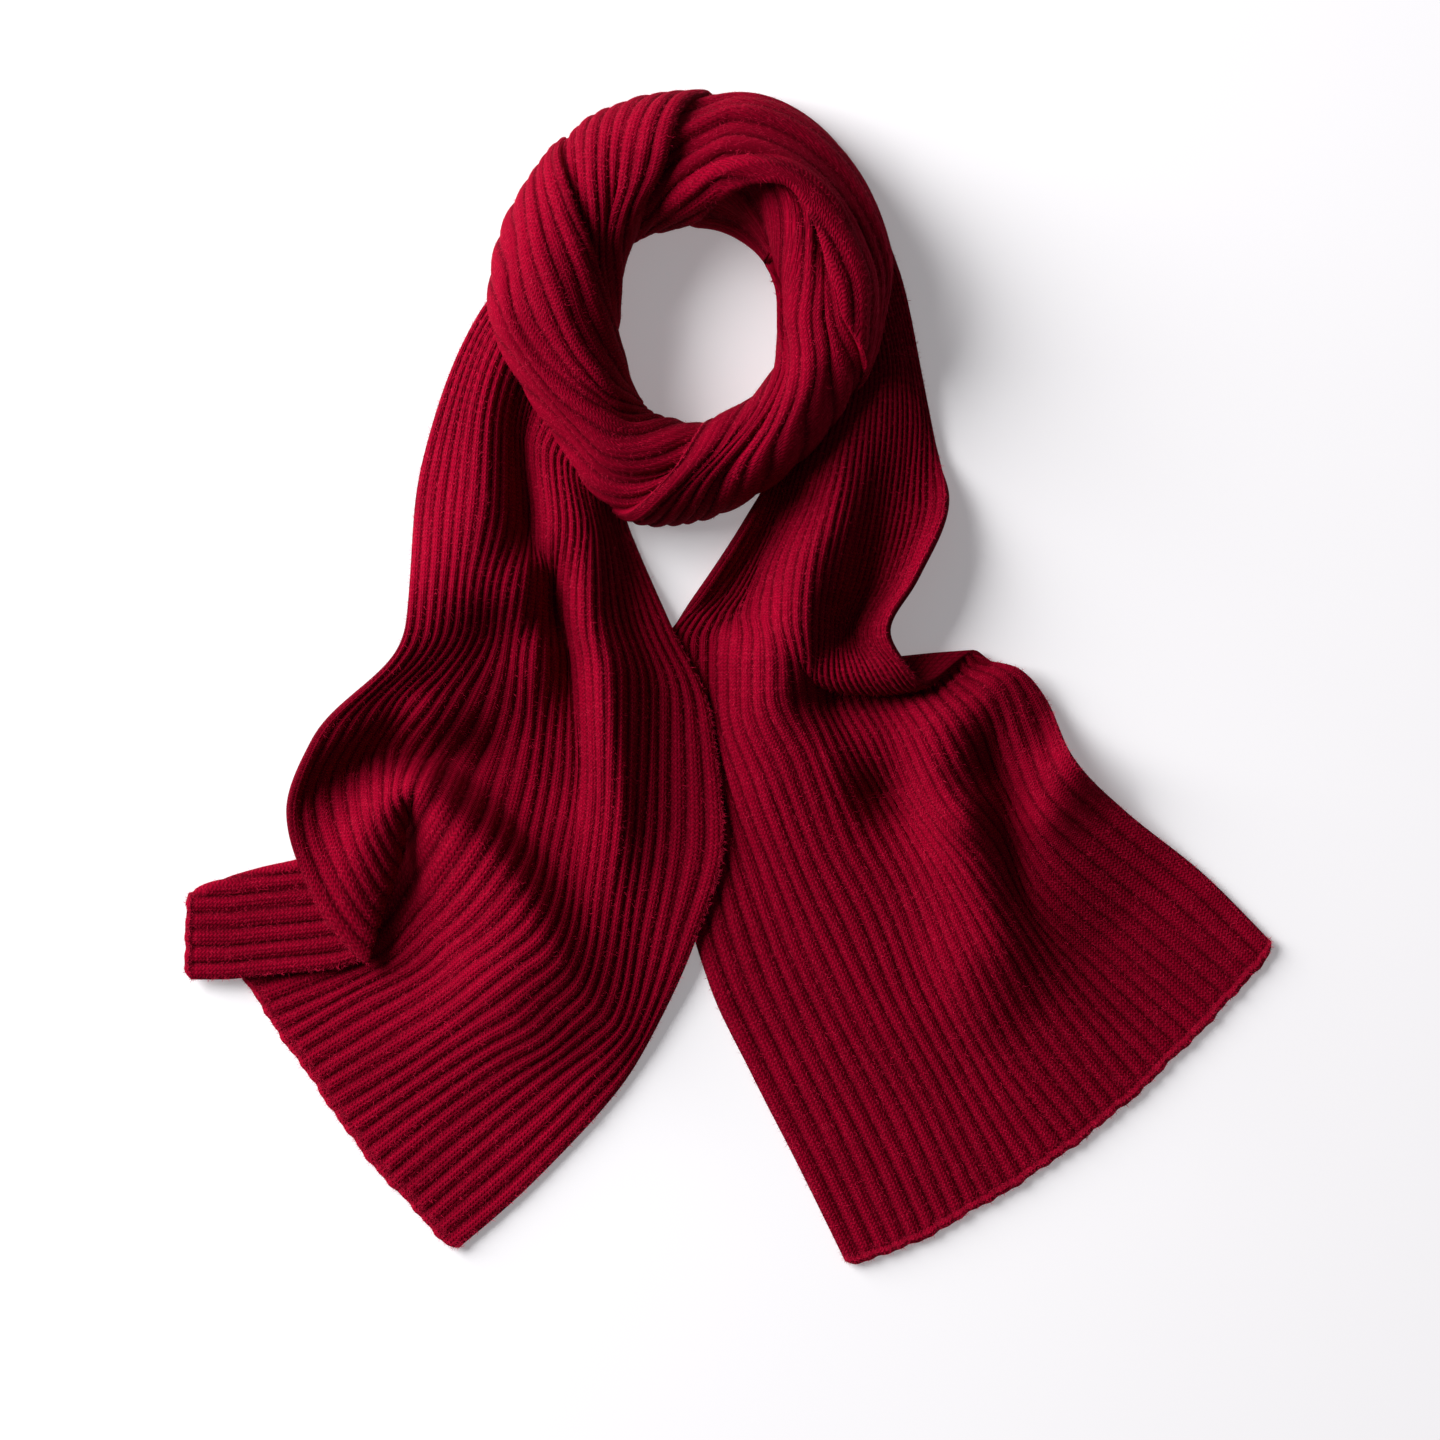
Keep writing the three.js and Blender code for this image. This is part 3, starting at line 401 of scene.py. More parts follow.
@dataclass(frozen=True)
class Band:
    """A band of the ring: width in ribs of the CAD, guides, and folds (rib, depth, half width in ribs).

    hollows are (x, y, reach, depth) in mm. Where drift is given, (degrees, ribs), the ribs run round the
    ring instead: so many lie between the rims and they move outwards by the drift.
    """

    name: str
    width: int
    guides: tuple[Guide, ...]
    folds: tuple[tuple[float, float, float], ...]
    hollows: tuple[tuple[float, float, float, float], ...] = ()
    lift: float = BAND_LIFT
    drift: tuple[tuple[float, float], ...] = ()


BANDS = (
    Band("ring_front", 14,
         (Guide("rightEdge", TUCK_RIBS, ((0, 7), (1, 1.5))), Guide("frontOuter", 5.5, ((0, 7),)),
          Guide("frontInner", 9.5, ((0, 10),)), Guide("frontEdge", 14, ((0, 13.5),))),
         ((4.5, 3.5, 1.0), (8.5, 3.0, 0.9), (11.5, 2.5, 0.8))),
    Band("ring_left", 10,
         (Guide("frontEdge", TUCK_RIBS, ((0, 5.5), (1, 1.5))), Guide("leftEdge", 10, ((0, 10),))),
         ((3.0, 3.0, 1.0), (7.0, 2.0, 0.8))),
    Band("ring_top", 12,
         (Guide("leftEdge", TUCK_RIBS, ((0, 0),)), Guide("topOuter", 8, ((0, 0),)),
          Guide("topEdge", 12, ((0, 0),))),
         ((7.4, 4.5, 0.9), (5.2, 2.5, 0.7)), lift=6.0,
         drift=((-30, 7.5), (20, 5.5), (80, 4), (125, 0))),
    Band("ring_right", 16,
         (Guide("topEdge", TUCK_RIBS,
                ((0, 8.5), (0.28, 6), (0.33, 5), (0.38, 4), (0.43, 3), (0.5, 2), (0.6, 1.5))),
          Guide("rightInner", 7, ((0, 8.5), (0.3, 6))), Guide("rightOuter", 11.5, ((0, 9.2),)),
          Guide("rightEdge", 16, ((0, 12.2),))),
         ((3.0, 4.0, 0.8), (7.3, 3.5, 0.8), (10.3, 2.5, 0.8)), ((4, 262, 22, 8.0),)),
)

# Swells (height > 0) and hollows (height < 0) in the tails' slack cloth: (x, y, reach, height).
LEFT_SWELLS = ((-171, -20, 15, 9.0), (-152, -24, 14, 5.0), (-134, -38, 16, -4.0), (-128, 28, 18, -6.0),
               (-100, -60, 22, -3.0))
RIGHT_SWELLS = ((13, 35, 14, -11.0), (18, 55, 14, -11.0), (29, 76, 14, -9.0), (41, 97, 14, -9.0),
                (88, -64, 18, -7.0), (136, -76, 14, 6.0), (164, -66, 14, -7.0), (193, -50, 15, 6.0),
                (94, 38, 10, 3.4), (100, 49, 10, 3.4), (106, 60, 10, 3.4), (111, 71, 10, 3.2),
                (116, 82, 10, 3.0))


# Curves and grids.
def limited_slopes(knots: Array, values: Array) -> Array:
    """Slopes at the knots of a curve that never overshoots them.

    The slope is a weighted harmonic mean of the chords on both sides, and zero where they turn back.

    Args:
        knots: positions, (n, ...), rising along the first axis.
        values: values at the knots, one more axis than knots.

    Returns:
        Slopes, shaped like values.
    """
    gaps = np.diff(knots, axis=0)[..., None]
    steep = np.diff(values, axis=0) / gaps
    slopes = np.zeros_like(values)
    slopes[0], slopes[-1] = steep[0], steep[-1]
    before, after = 2 * gaps[1:] + gaps[:-1], gaps[1:] + 2 * gaps[:-1]
    with np.errstate(divide="ignore", invalid="ignore"):
        mean = (before + after) / (before / steep[:-1] + after / steep[1:])
    slopes[1:-1] = np.where(steep[:-1] * steep[1:] > 0, mean, 0.0)
    return slopes


def cubic(t: Array, start: Array, end: Array, leave: Array, arrive: Array) -> Array:
    """Cubic from start to end as t goes from 0 to 1; leave and arrive are the slopes times the gap."""
    rise = t * t * (3 - 2 * t)
    return start * (1 - rise) + end * rise + t * (1 - t) ** 2 * leave + t * t * (t - 1) * arrive


def curve_at(knots: Array, values: Array, at: Array) -> Array:
    """Smooth curve through values at knots, read at the given positions.

    Args:
        knots: rising positions, (n,).
        values: values at the knots, (n, d).
        at: positions to read, (k,).

    Returns:
        Values there, (k, d).
    """
    slopes = limited_slopes(knots, values)
    i = np.clip(np.searchsorted(knots, at, side="left") - 1, 0, len(knots) - 2)
    gap = (knots[i + 1] - knots[i])[:, None]
    t = (at - knots[i])[:, None] / gap
    return cubic(t, values[i], values[i + 1], slopes[i] * gap, slopes[i + 1] * gap)


def smooth_step(t: Array) -> Array:
    """Eases from 0 to 1 with level ends: 3t^2 - 2t^3 of t clipped to 0..1."""
    clipped = np.clip(t, 0, 1)
    return clipped * clipped * (3 - 2 * clipped)


def relaxed(grid: Array, times: int, axis: int) -> Array:
    """Grid smoothed along one axis by repeated quarter, half, quarter means, its ends held.

    Args:
        grid: points, (rows, columns, 3).
        times: how often.
        axis: 0 along the columns, 1 along the rows.

    Returns:
        The smoothed points.
    """
    out = np.moveaxis(grid, axis, 0).copy()
    for _ in range(times):
        out[1:-1] = (out[:-2] + 2 * out[1:-1] + out[2:]) / 4
    return np.moveaxis(out, 0, axis)


def unit(vectors: Array) -> Array:
    """Vectors brought to length 1 along the last axis."""
    return vectors / np.maximum(np.linalg.norm(vectors, axis=-1, keepdims=True), TINY)


def grid_normals(grid: Array, level_ends: bool = False) -> Array:
    """Unit normals of a grid of points: the change along a row crossed with the change between rows.

    Args:
        grid: points, (rows, columns, 3).
        level_ends: the first and last rows stand upright, so their normals are level.

    Returns:
        Normals, shaped like grid.
    """
    normals = np.cross(np.gradient(grid, axis=1), np.gradient(grid, axis=0))
    if level_ends:
        normals[[0, -1], :, 2] = 0
    return unit(normals)


def lengths_along(grid: Array) -> Array:
    """Distance of each row from the first one along the cloth, in mm: sums of the columns' median steps."""
    steps = np.linalg.norm(np.diff(grid, axis=0), axis=2)
    return np.concatenate([[0.0], np.cumsum(np.median(steps, axis=1))])


# Knit walls.
@dataclass
class KnitWall:
    """A wall of rib knit on a grid of its middle: ribbed outer face, plain inner face, closed all round."""

    name: str
    middle: Array
    ribs: Array
    length: Array
    normals: Array
    open_cells: Optional[Array] = None
    relief: float = RIB_RELIEF
    hem_rows: tuple[bool, bool] = (False, False)
    soft_edges: tuple[bool, bool] = (True, True)

    def from_edge(self) -> Array:
        """Distance of each point from the nearest soft edge across the ribs.

        Returns:
            Distances in mm, (rows, columns).
        """
        steps = np.linalg.norm(np.diff(self.middle, axis=1), axis=2)
        across = np.pad(np.cumsum(steps, axis=1), ((0, 0), (1, 0)))
        sides = (across, across[:, -1:] - across)
        return np.minimum(*(side if soft else FAR_FROM_EDGE for side, soft in zip(sides, self.soft_edges)))

    def rib_height(self) -> Array:
        """Height of the ribs over the plain wall.

        Across a rib it is 1 - (1 - d)^2 with d the distance from the nearest furrow in half ribs. The
        furrows wander by sines, and ribs swell and thin by a product of sines. The bound-off or cast-on row
        draws them flat into a bell-shaped lip. The last few mm at a selvedge are a firm rounded edge.

        Returns:
            Heights in mm, (rows, columns).
        """
        along, ribs = self.length[:, None], self.ribs
        wander = sum(share * np.sin(along / wave + ribs * shift) for share, wave, shift in FURROW_WAVES)
        from_furrow = 1 - 2 * np.abs((ribs + wander) % 1 - 0.5)
        first, second = (np.sin(along / wave + ribs * shift) for wave, shift in SWELL_WAVES)
        height = self.relief * (1 + RIB_SWELL * first * second) * (1 - (1 - from_furrow) ** 2)
        for flag, distance in zip(self.hem_rows, (along, along[-1] - along)):
            if flag:
                lip = LIP[0] * np.exp(-(((distance - LIP_PLACE) / LIP[1]) ** 2))
                lip = lip - LIP_ROUNDING[0] * (1 - smooth_step(distance / LIP_ROUNDING[1]))
                grown = smooth_step((distance - RIBS_FROM) / RIBS_OVER)
                height = height * (RIBS_LEAST + (1 - RIBS_LEAST) * grown) + lip
        edge = self.from_edge()
        firm = 1 - smooth_step((edge - FIRM_TO) / FIRM_OVER)
        height = height + np.maximum(FIRM_SHARE * self.relief - height, 0) * firm
        return height - EDGE_ROUNDING[0] * (1 - smooth_step(edge / EDGE_ROUNDING[1]))

    def outer_face(self) -> Array:
        """Points of the ribbed face, in mm: the middle moved out by half the wall and the ribs."""
        return self.middle + self.normals * (HALF_WALL + self.rib_height())[..., None]

    def filled_cells(self) -> Array:
        """Which coarse cells are cloth, (rows - 1, cells): all but the open ones."""
        rows, columns = self.ribs.shape
        if self.open_cells is None:
            return np.ones((rows - 1, (columns - 1) // COARSE), bool)
        return ~self.open_cells

    def build(self) -> bpy.types.Object:
        """Makes the wall's object.

        The outer face has COARSE columns to one of the inner face, so the wall's ends and the slit's ends
        are fans of triangles between the two.

        Returns:
            The new object, its place in its mesh, with a UV map of rib number and length over rib pitch.
        """
        rows, columns = self.ribs.shape
        filled = self.filled_cells()
        cells = filled.shape[1]
        fine, coarse = np.repeat(filled, COARSE, axis=1), slice(None, None, COARSE)
        inner = (self.middle - self.normals * HALF_WALL)[:, coarse]
        points = np.concatenate([self.outer_face().reshape(-1, 3), inner.reshape(-1, 3)])
        points[:, 2] = np.maximum(points[:, 2], 0)
        o = np.arange(rows * columns).reshape(rows, columns)
        n = rows * columns + np.arange(rows * (cells + 1)).reshape(rows, cells + 1)
        a, b = o[:, :-1:COARSE], o[:, COARSE::COARSE]
        beyond = np.pad(filled, 1)
        left, right = filled & ~beyond[1:-1, :-2], filled & ~beyond[1:-1, 2:]
        below, above = filled & ~beyond[:-2, 1:-1], filled & ~beyond[2:, 1:-1]
        quads = [
            np.stack([o[:-1, :-1], o[:-1, 1:], o[1:, 1:], o[1:, :-1]], axis=2)[fine],
            np.stack([n[:-1, :-1], n[1:, :-1], n[1:, 1:], n[:-1, 1:]], axis=2)[filled],
            np.stack([n[:-1, :-1], a[:-1], a[1:], n[1:, :-1]], axis=2)[left],
            np.stack([n[1:, 1:], b[1:], b[:-1], n[:-1, 1:]], axis=2)[right],
        ]
        triangles = []
        for k in range(COARSE):
            p, q = o[:, k:-1:COARSE], o[:, k + 1::COARSE]
            triangles.append(np.stack([n[:-1, :-1], q[:-1], p[:-1]], axis=2)[below])
            triangles.append(np.stack([n[1:, :-1], p[1:], q[1:]], axis=2)[above])
        triangles.append(np.stack([n[:-1, :-1], n[:-1, 1:], b[:-1]], axis=2)[below])
        triangles.append(np.stack([n[1:, :-1], b[1:], n[1:, 1:]], axis=2)[above])
        knit = np.stack(np.broadcast_arrays(self.ribs, (self.length / RIB_PITCH)[:, None]), axis=2)
        uv = np.concatenate([knit.reshape(-1, 2), knit[:, coarse].reshape(-1, 2)])
        return mesh_object(f"{self.name}_knit", points * MM, np.concatenate(quads),
                           np.concatenate(triangles), uv)

    def cut(self) -> dict[str, Any]:
        """Rib knit closes up where it is gathered, so the width is a mean, and a stretch that runs aslant
        round the ring is a leaning shape with its own area.

        Returns:
            flat (mean width, mean length) in metres, and area in square metres.
        """
        across, along = np.diff(self.middle, axis=1), np.diff(self.middle, axis=0)
        width = np.linalg.norm(across, axis=2).sum(axis=1).mean() * MM
        length = np.linalg.norm(along, axis=2).sum(axis=0).mean() * MM
        cells = np.linalg.norm(np.cross(across[:-1], along[:, :-1]), axis=2)
        area = (cells * np.repeat(self.filled_cells(), COARSE, axis=1)).sum() * MM * MM
        return {"flat": (float(width), float(length)), "area": float(min(area, width * length))}


def mesh_object(name: str, points: Array, quads: Array, triangles: Array = NO_TRIANGLES,
                uv: Optional[Array] = None) -> bpy.types.Object:
    """Puts points and faces into a new object.

    Args:
        name: name of the object and its mesh.
        points: places in metres, (n, 3).
        quads: corners of the quads, (q, 4).
        triangles: corners of the triangles, (t, 3), none if left out.
        uv: pattern coordinates of each point, (n, 2).

    Returns:
        The object, linked to the scene; points that no face uses are left out.
    """
    corners = np.concatenate([quads.ravel(), triangles.ravel()])
    used, corners = np.unique(corners, return_inverse=True)
    points = points[used]
    sizes = np.concatenate([np.full(len(quads), 4), np.full(len(triangles), 3)])
    mesh = bpy.data.meshes.new(name)
    mesh.vertices.add(len(points))
    mesh.vertices.foreach_set("co", points.astype(np.float32).ravel())
    mesh.loops.add(len(corners))
    mesh.loops.foreach_set("vertex_index", corners.astype(np.int32).ravel())
    mesh.polygons.add(len(sizes))
    mesh.polygons.foreach_set("loop_start", np.concatenate([[0], np.cumsum(sizes)[:-1]]).astype(np.int32))
    mesh.polygons.foreach_set("use_smooth", np.ones(len(sizes), bool))
    mesh.update(calc_edges=True)
    if uv is not None:
        layer = mesh.uv_layers.new(name="knit")
        layer.data.foreach_set("uv", uv[used][corners.ravel()].astype(np.float32).ravel())
    mesh.validate()
    piece = bpy.data.objects.new(name, mesh)
    bpy.context.scene.collection.objects.link(piece)
    return piece


# Tails.
def tail_rows(sections: tuple[Section, ...], ribs: Array) -> tuple[Array, dict[str, int]]:
    """Fine grid of a tail's middle.

    Each section is a smooth curve over the rib number; each rib is a smooth curve over its own chord
    length through the sections.

    Args:
        sections: the tail's sections, from the hem to the ring.
        ribs: rib number of each column.

    Returns:
        The grid in mm, (rows, columns, 3), and the row that each section starts.
    """
    across = np.stack([
        curve_at(np.array([k[0] for k in s.knots], float),
                 np.array([(*k[1:], HALF_WALL)[:3] for k in s.knots], float), ribs)
        for s in sections
    ])
    gaps = np.maximum(LEAST_GAP, np.linalg.norm(np.diff(across, axis=0), axis=2))
    along = np.concatenate([np.zeros((1, len(ribs))), np.cumsum(gaps, axis=0)])
    slopes = limited_slopes(along, across)
    rows: list[Array] = []
    starts: dict[str, int] = {}
    for i, gap in enumerate(gaps):
        starts[sections[i].at] = sum(len(r) for r in rows)
        steps = max(LEAST_ROWS, round(float(np.quantile(gap, GAP_QUANTILE)) / ROW_STEP))
        t = np.arange(steps) / steps
        if i == 0:
            hem = np.linspace(0, t[HEM_ROWS], HEM_FINER * HEM_ROWS, endpoint=False)
            t = np.concatenate([hem, t[HEM_ROWS:]])
        t = t[:, None, None]
        scale = gap[None, :, None]
        rows.append(cubic(t, across[i], across[i + 1], slopes[i] * scale, slopes[i + 1] * scale))
    starts[sections[-1].at] = sum(len(r) for r in rows)
    rows.append(across[-1:])
    return np.concatenate(rows), starts


def hem_reach(ribs: Array, from_corner: Array, distance: Array) -> Array:
    """How far a hem stands out over its straight line.

    Scallops at the ribs are a cosine, the wander is a product of two sines, and the corners fall back
    exponentially.

    Args:
        ribs: rib number.
        from_corner: distance from the nearest selvedge or fold, in mm.
        distance: distance from the hem along the cloth, in mm.

    Returns:
        Reach in mm, fading within HEM_DEPTH of the hem.
    """
    fast, slow = HEM_WAVES
    scallop = -HEM_SCALLOP * np.cos(2 * np.pi * ribs)
    wander = HEM_WANDER * np.sin(ribs * fast) * np.sin(ribs * slow + 1)
    reach = scallop + wander - CORNER_ROUNDING * np.exp(-from_corner / CORNER_ROUNDING)
    return reach * (1 - smooth_step(distance / HEM_DEPTH))


class Stretch:
    """A stretch of the strip that shows: how it is held and what it rests on."""

    held: ClassVar[Held] = Held.FOLDED
    rests_on: ClassVar[tuple[str, ...]] = ("floor",)


@dataclass
class Tail(Stretch):
    """A loose end of the scarf, from its hem to the ring.

    smoothing is how often the grid is smoothed along and across the ribs. The slit ends at slit_ribs; within
    slit_columns of it and slit_rows (none of it, over how many) the table's own points stay.
    """

    name: str
    sections: tuple[Section, ...]
    slit_after: Optional[str] = None
    slit_ribs: int = 0
    swells: tuple[tuple[float, float, float, float], ...] = ()
    smoothing: tuple[int, int] = (3, 2)
    slit_columns: int = 12
    slit_rows: tuple[int, int] = (14, 8)

    def wall(self) -> KnitWall:
        """The tail's knit wall: its table's surface, with bell-shaped swells and hollows added to the height.

        Returns:
            The wall, with its slit cells left open.
        """
        ribs = np.linspace(0, RIBS, RIBS * COLUMNS_PER_RIB + 1)
        grid, starts = tail_rows(self.sections, ribs)
        soft = relaxed(relaxed(grid, self.smoothing[0], 0), self.smoothing[1], 1)
        outward = unit(soft[0] - soft[2 * HEM_ROWS])
        reach = hem_reach(ribs, np.minimum(ribs, RIBS - ribs) * RIB_PITCH, lengths_along(soft)[:, None])
        soft = soft + outward * reach[..., None]
        for x, y, spread, height in self.swells:
            soft[..., 2] += height * np.exp(-(np.hypot(soft[..., 0] - x, soft[..., 1] - y) / spread) ** 2)
        soft[..., 2] = np.maximum(soft[..., 2], HALF_WALL)
        normals, open_cells = grid_normals(soft), None
        if self.slit_after is not None:
            soft, normals, open_cells = self.slit(grid, soft, starts)
        return KnitWall(self.name, soft, np.tile(ribs, (len(grid), 1)), lengths_along(soft), normals,
                        open_cells, hem_rows=(True, False))

    def slit(self, grid: Array, soft: Array, starts: dict[str, int]) -> tuple[Array, Array, Array]:
        """Slits the cloth between two sections, from rib 0 to the pleat's apex.

        Args:
            grid: the table's surface.
            soft: the same after smoothing, hem and swells.
            starts: row that each section starts.

        Returns:
            Points that come back to the table's near the slit, normals that differ on its two sides, and the
            open cells.
        """
        names = [s.at for s in self.sections]
        first = starts[self.slit_after]
        last = starts[names[names.index(self.slit_after) + 1]]
        apex = self.slit_ribs * COLUMNS_PER_RIB
        rows, columns = np.arange(len(grid)), np.arange(grid.shape[1])
        near = smooth_step((apex + self.slit_columns - columns) / self.slit_columns)[None, :]
        none, over = self.slit_rows
        close = smooth_step((none - np.maximum(first - rows, rows - last)) / over)[:, None]
        soft = soft + (grid - soft) * (near * close)[..., None]
        normals = grid_normals(soft)
        normals[: first + 1, : apex + 1] = grid_normals(soft[: first + 1])[:, : apex + 1]
        normals[last:, : apex + 1] = grid_normals(soft[last:])[:, : apex + 1]
        open_cells = np.zeros((len(grid) - 1, len(columns) // COARSE), bool)
        open_cells[first:last, : apex // COARSE] = True
        return soft, normals, open_cells


@dataclass
class FoldedCorner(Stretch):
    """Outer corner of the left end, folded back side up on the panel, with its fold turned down.

    fold_line is where its outline's second corner lies, in mm past the flat part.
    """

    name: str = "left_corner"
    stations: int = 40
    columns: int = 96
    fold_line: float = 3.0

    def wall(self) -> KnitWall:
        """The corner's knit wall.

        Across the ribs it runs flat from the selvedge, then round a half circle between the upper and the
        lower layer, and a short way back.

        Returns:
            The wall, ribs lengthwise.
        """
        table = np.array(CORNER, float)
        reach = table[0, 0] - table[:, 0]
        at = np.linspace(0, reach[-1], self.stations + 1)
        at = np.concatenate([at[:-HEM_ROWS], np.linspace(at[-HEM_ROWS], at[-1], HEM_FINER * HEM_ROWS)])
        low, high = curve_at(reach, table[:, 1:], at).T
        radius = (CORNER_HIGH - CORNER_LOW) / 2
        flat = (high - radius - low)[:, None]
        along = np.linspace(0, 1, self.columns + 1)[None, :] * (flat + CORNER_RETURN)
        bend = np.clip(along - flat, 0, math.pi * radius)
        back = np.maximum(0, along - flat - math.pi * radius)
        y = low[:, None] + np.minimum(along, flat) + radius * np.sin(bend / radius) - back
        z = CORNER_HIGH - radius * (1 - np.cos(bend / radius))
        from_corner = np.minimum(along, np.abs(flat + self.fold_line - along))
        x = CORNER[0][0] - at[:, None] - hem_reach(along / RIB_PITCH, from_corner, at[-1] - at[:, None])
        grid = np.stack([x, y, z], axis=2)
        return KnitWall(self.name, grid, along / RIB_PITCH, at, grid_normals(grid), hem_rows=(False, True),
                        soft_edges=(True, False))


# Ring.
def rim_at(name: str, degrees: Array) -> Array:
    """A column of the ring's table at any angle.

    It is a closed curve of cubics whose slope at each row is half the difference of the rows beside it.

    Args:
        name: column.
        degrees: angles, any shape.

    Returns:
        Values, shaped like degrees.
    """
    column = np.array(RIM[name], float)
    at = (degrees % FULL_TURN) / RIM_STEP
    i = np.floor(at).astype(int)
    a, b, c, d = (column[(i + k) % len(column)] for k in (-1, 0, 1, 2))
    return cubic(at - i, b, c, (c - a) / 2, (d - b) / 2)


def ring_place(angle: Array, radius: Array, height: Array) -> Array:
    """Points at an angle in radians and a distance from the ring's centre, at a height."""
    x, y = RING_CENTRE
    return np.stack([x + radius * np.cos(angle), y + radius * np.sin(angle), height], axis=-1)


def ring_point(degrees: Array, turn: Array) -> Array:
    """Points of the ring's cloth, on an upright half ellipse between the rims.

    Args:
        degrees: angle round the ring.
        turn: angle along the half ellipse, 0 at the inner rim and pi at the outer one.

    Returns:
        Points, with one more axis than degrees.
    """
    inner, outer = rim_at("inner", degrees), rim_at("outer", degrees)
    radius = inner + (outer - inner) * (1 - np.cos(turn)) / 2
    base = np.where(turn < math.pi / 2, RIM_HEIGHT, rim_at("edge", degrees))
    height = base + (rim_at("top", degrees) - base) * np.sin(turn)
    return ring_place(np.radians(degrees), radius, height)


def ring_line(name: str, shares: Array) -> Array:
    """A line of the ring in degrees and turn.

    Args:
        name: line.
        shares: shares of its plan length, from the inner rim to the outer one.

    Returns:
        Degrees and turn at each share, (k, 2).
    """
    points = np.array(LINES[name], float)
    along = np.concatenate([[0.0], np.cumsum(np.hypot(*np.diff(points, axis=0).T))])
    offset = points - np.array(RING_CENTRE)
    degrees = np.unwrap(np.degrees(np.arctan2(offset[:, 1], offset[:, 0])), period=FULL_TURN)
    inner, outer = rim_at("inner", degrees), rim_at("outer", degrees)
    share = np.clip((np.hypot(*offset.T) - inner) / (outer - inner), 0, 1)
    turns = np.arccos(1 - 2 * share)
    turns[0], turns[-1] = 0.0, math.pi
    return curve_at(along, np.stack([degrees, turns], axis=1), shares * along[-1])


def across_guides(knots: list[float], spots: list[Array], ribs: Array) -> Array:
    """Degrees and turn of every row at the given ribs, on smooth curves through the guides' spots.

    The spots' degrees are first brought into one run, each close to or just past the last.

    Args:
        knots: rib number of each guide.
        spots: degrees and turn of each guide by row, (rows, 2) each.
        ribs: rib numbers to read.

    Returns:
        Degrees and turn, (rows, ribs, 2).
    """
    run = np.stack(spots)
    for before, spot in zip(run, run[1:]):
        spot[:, 0] -= FULL_TURN * (spot[:, 0] - before[:, 0] > AHEAD)
        spot[:, 0] += FULL_TURN * (before[:, 0] - spot[:, 0] > BEHIND)
    rows = curve_at(np.array(knots, float), run.reshape(len(knots), -1), ribs)
    return rows.reshape(len(ribs), -1, 2).transpose(1, 0, 2)


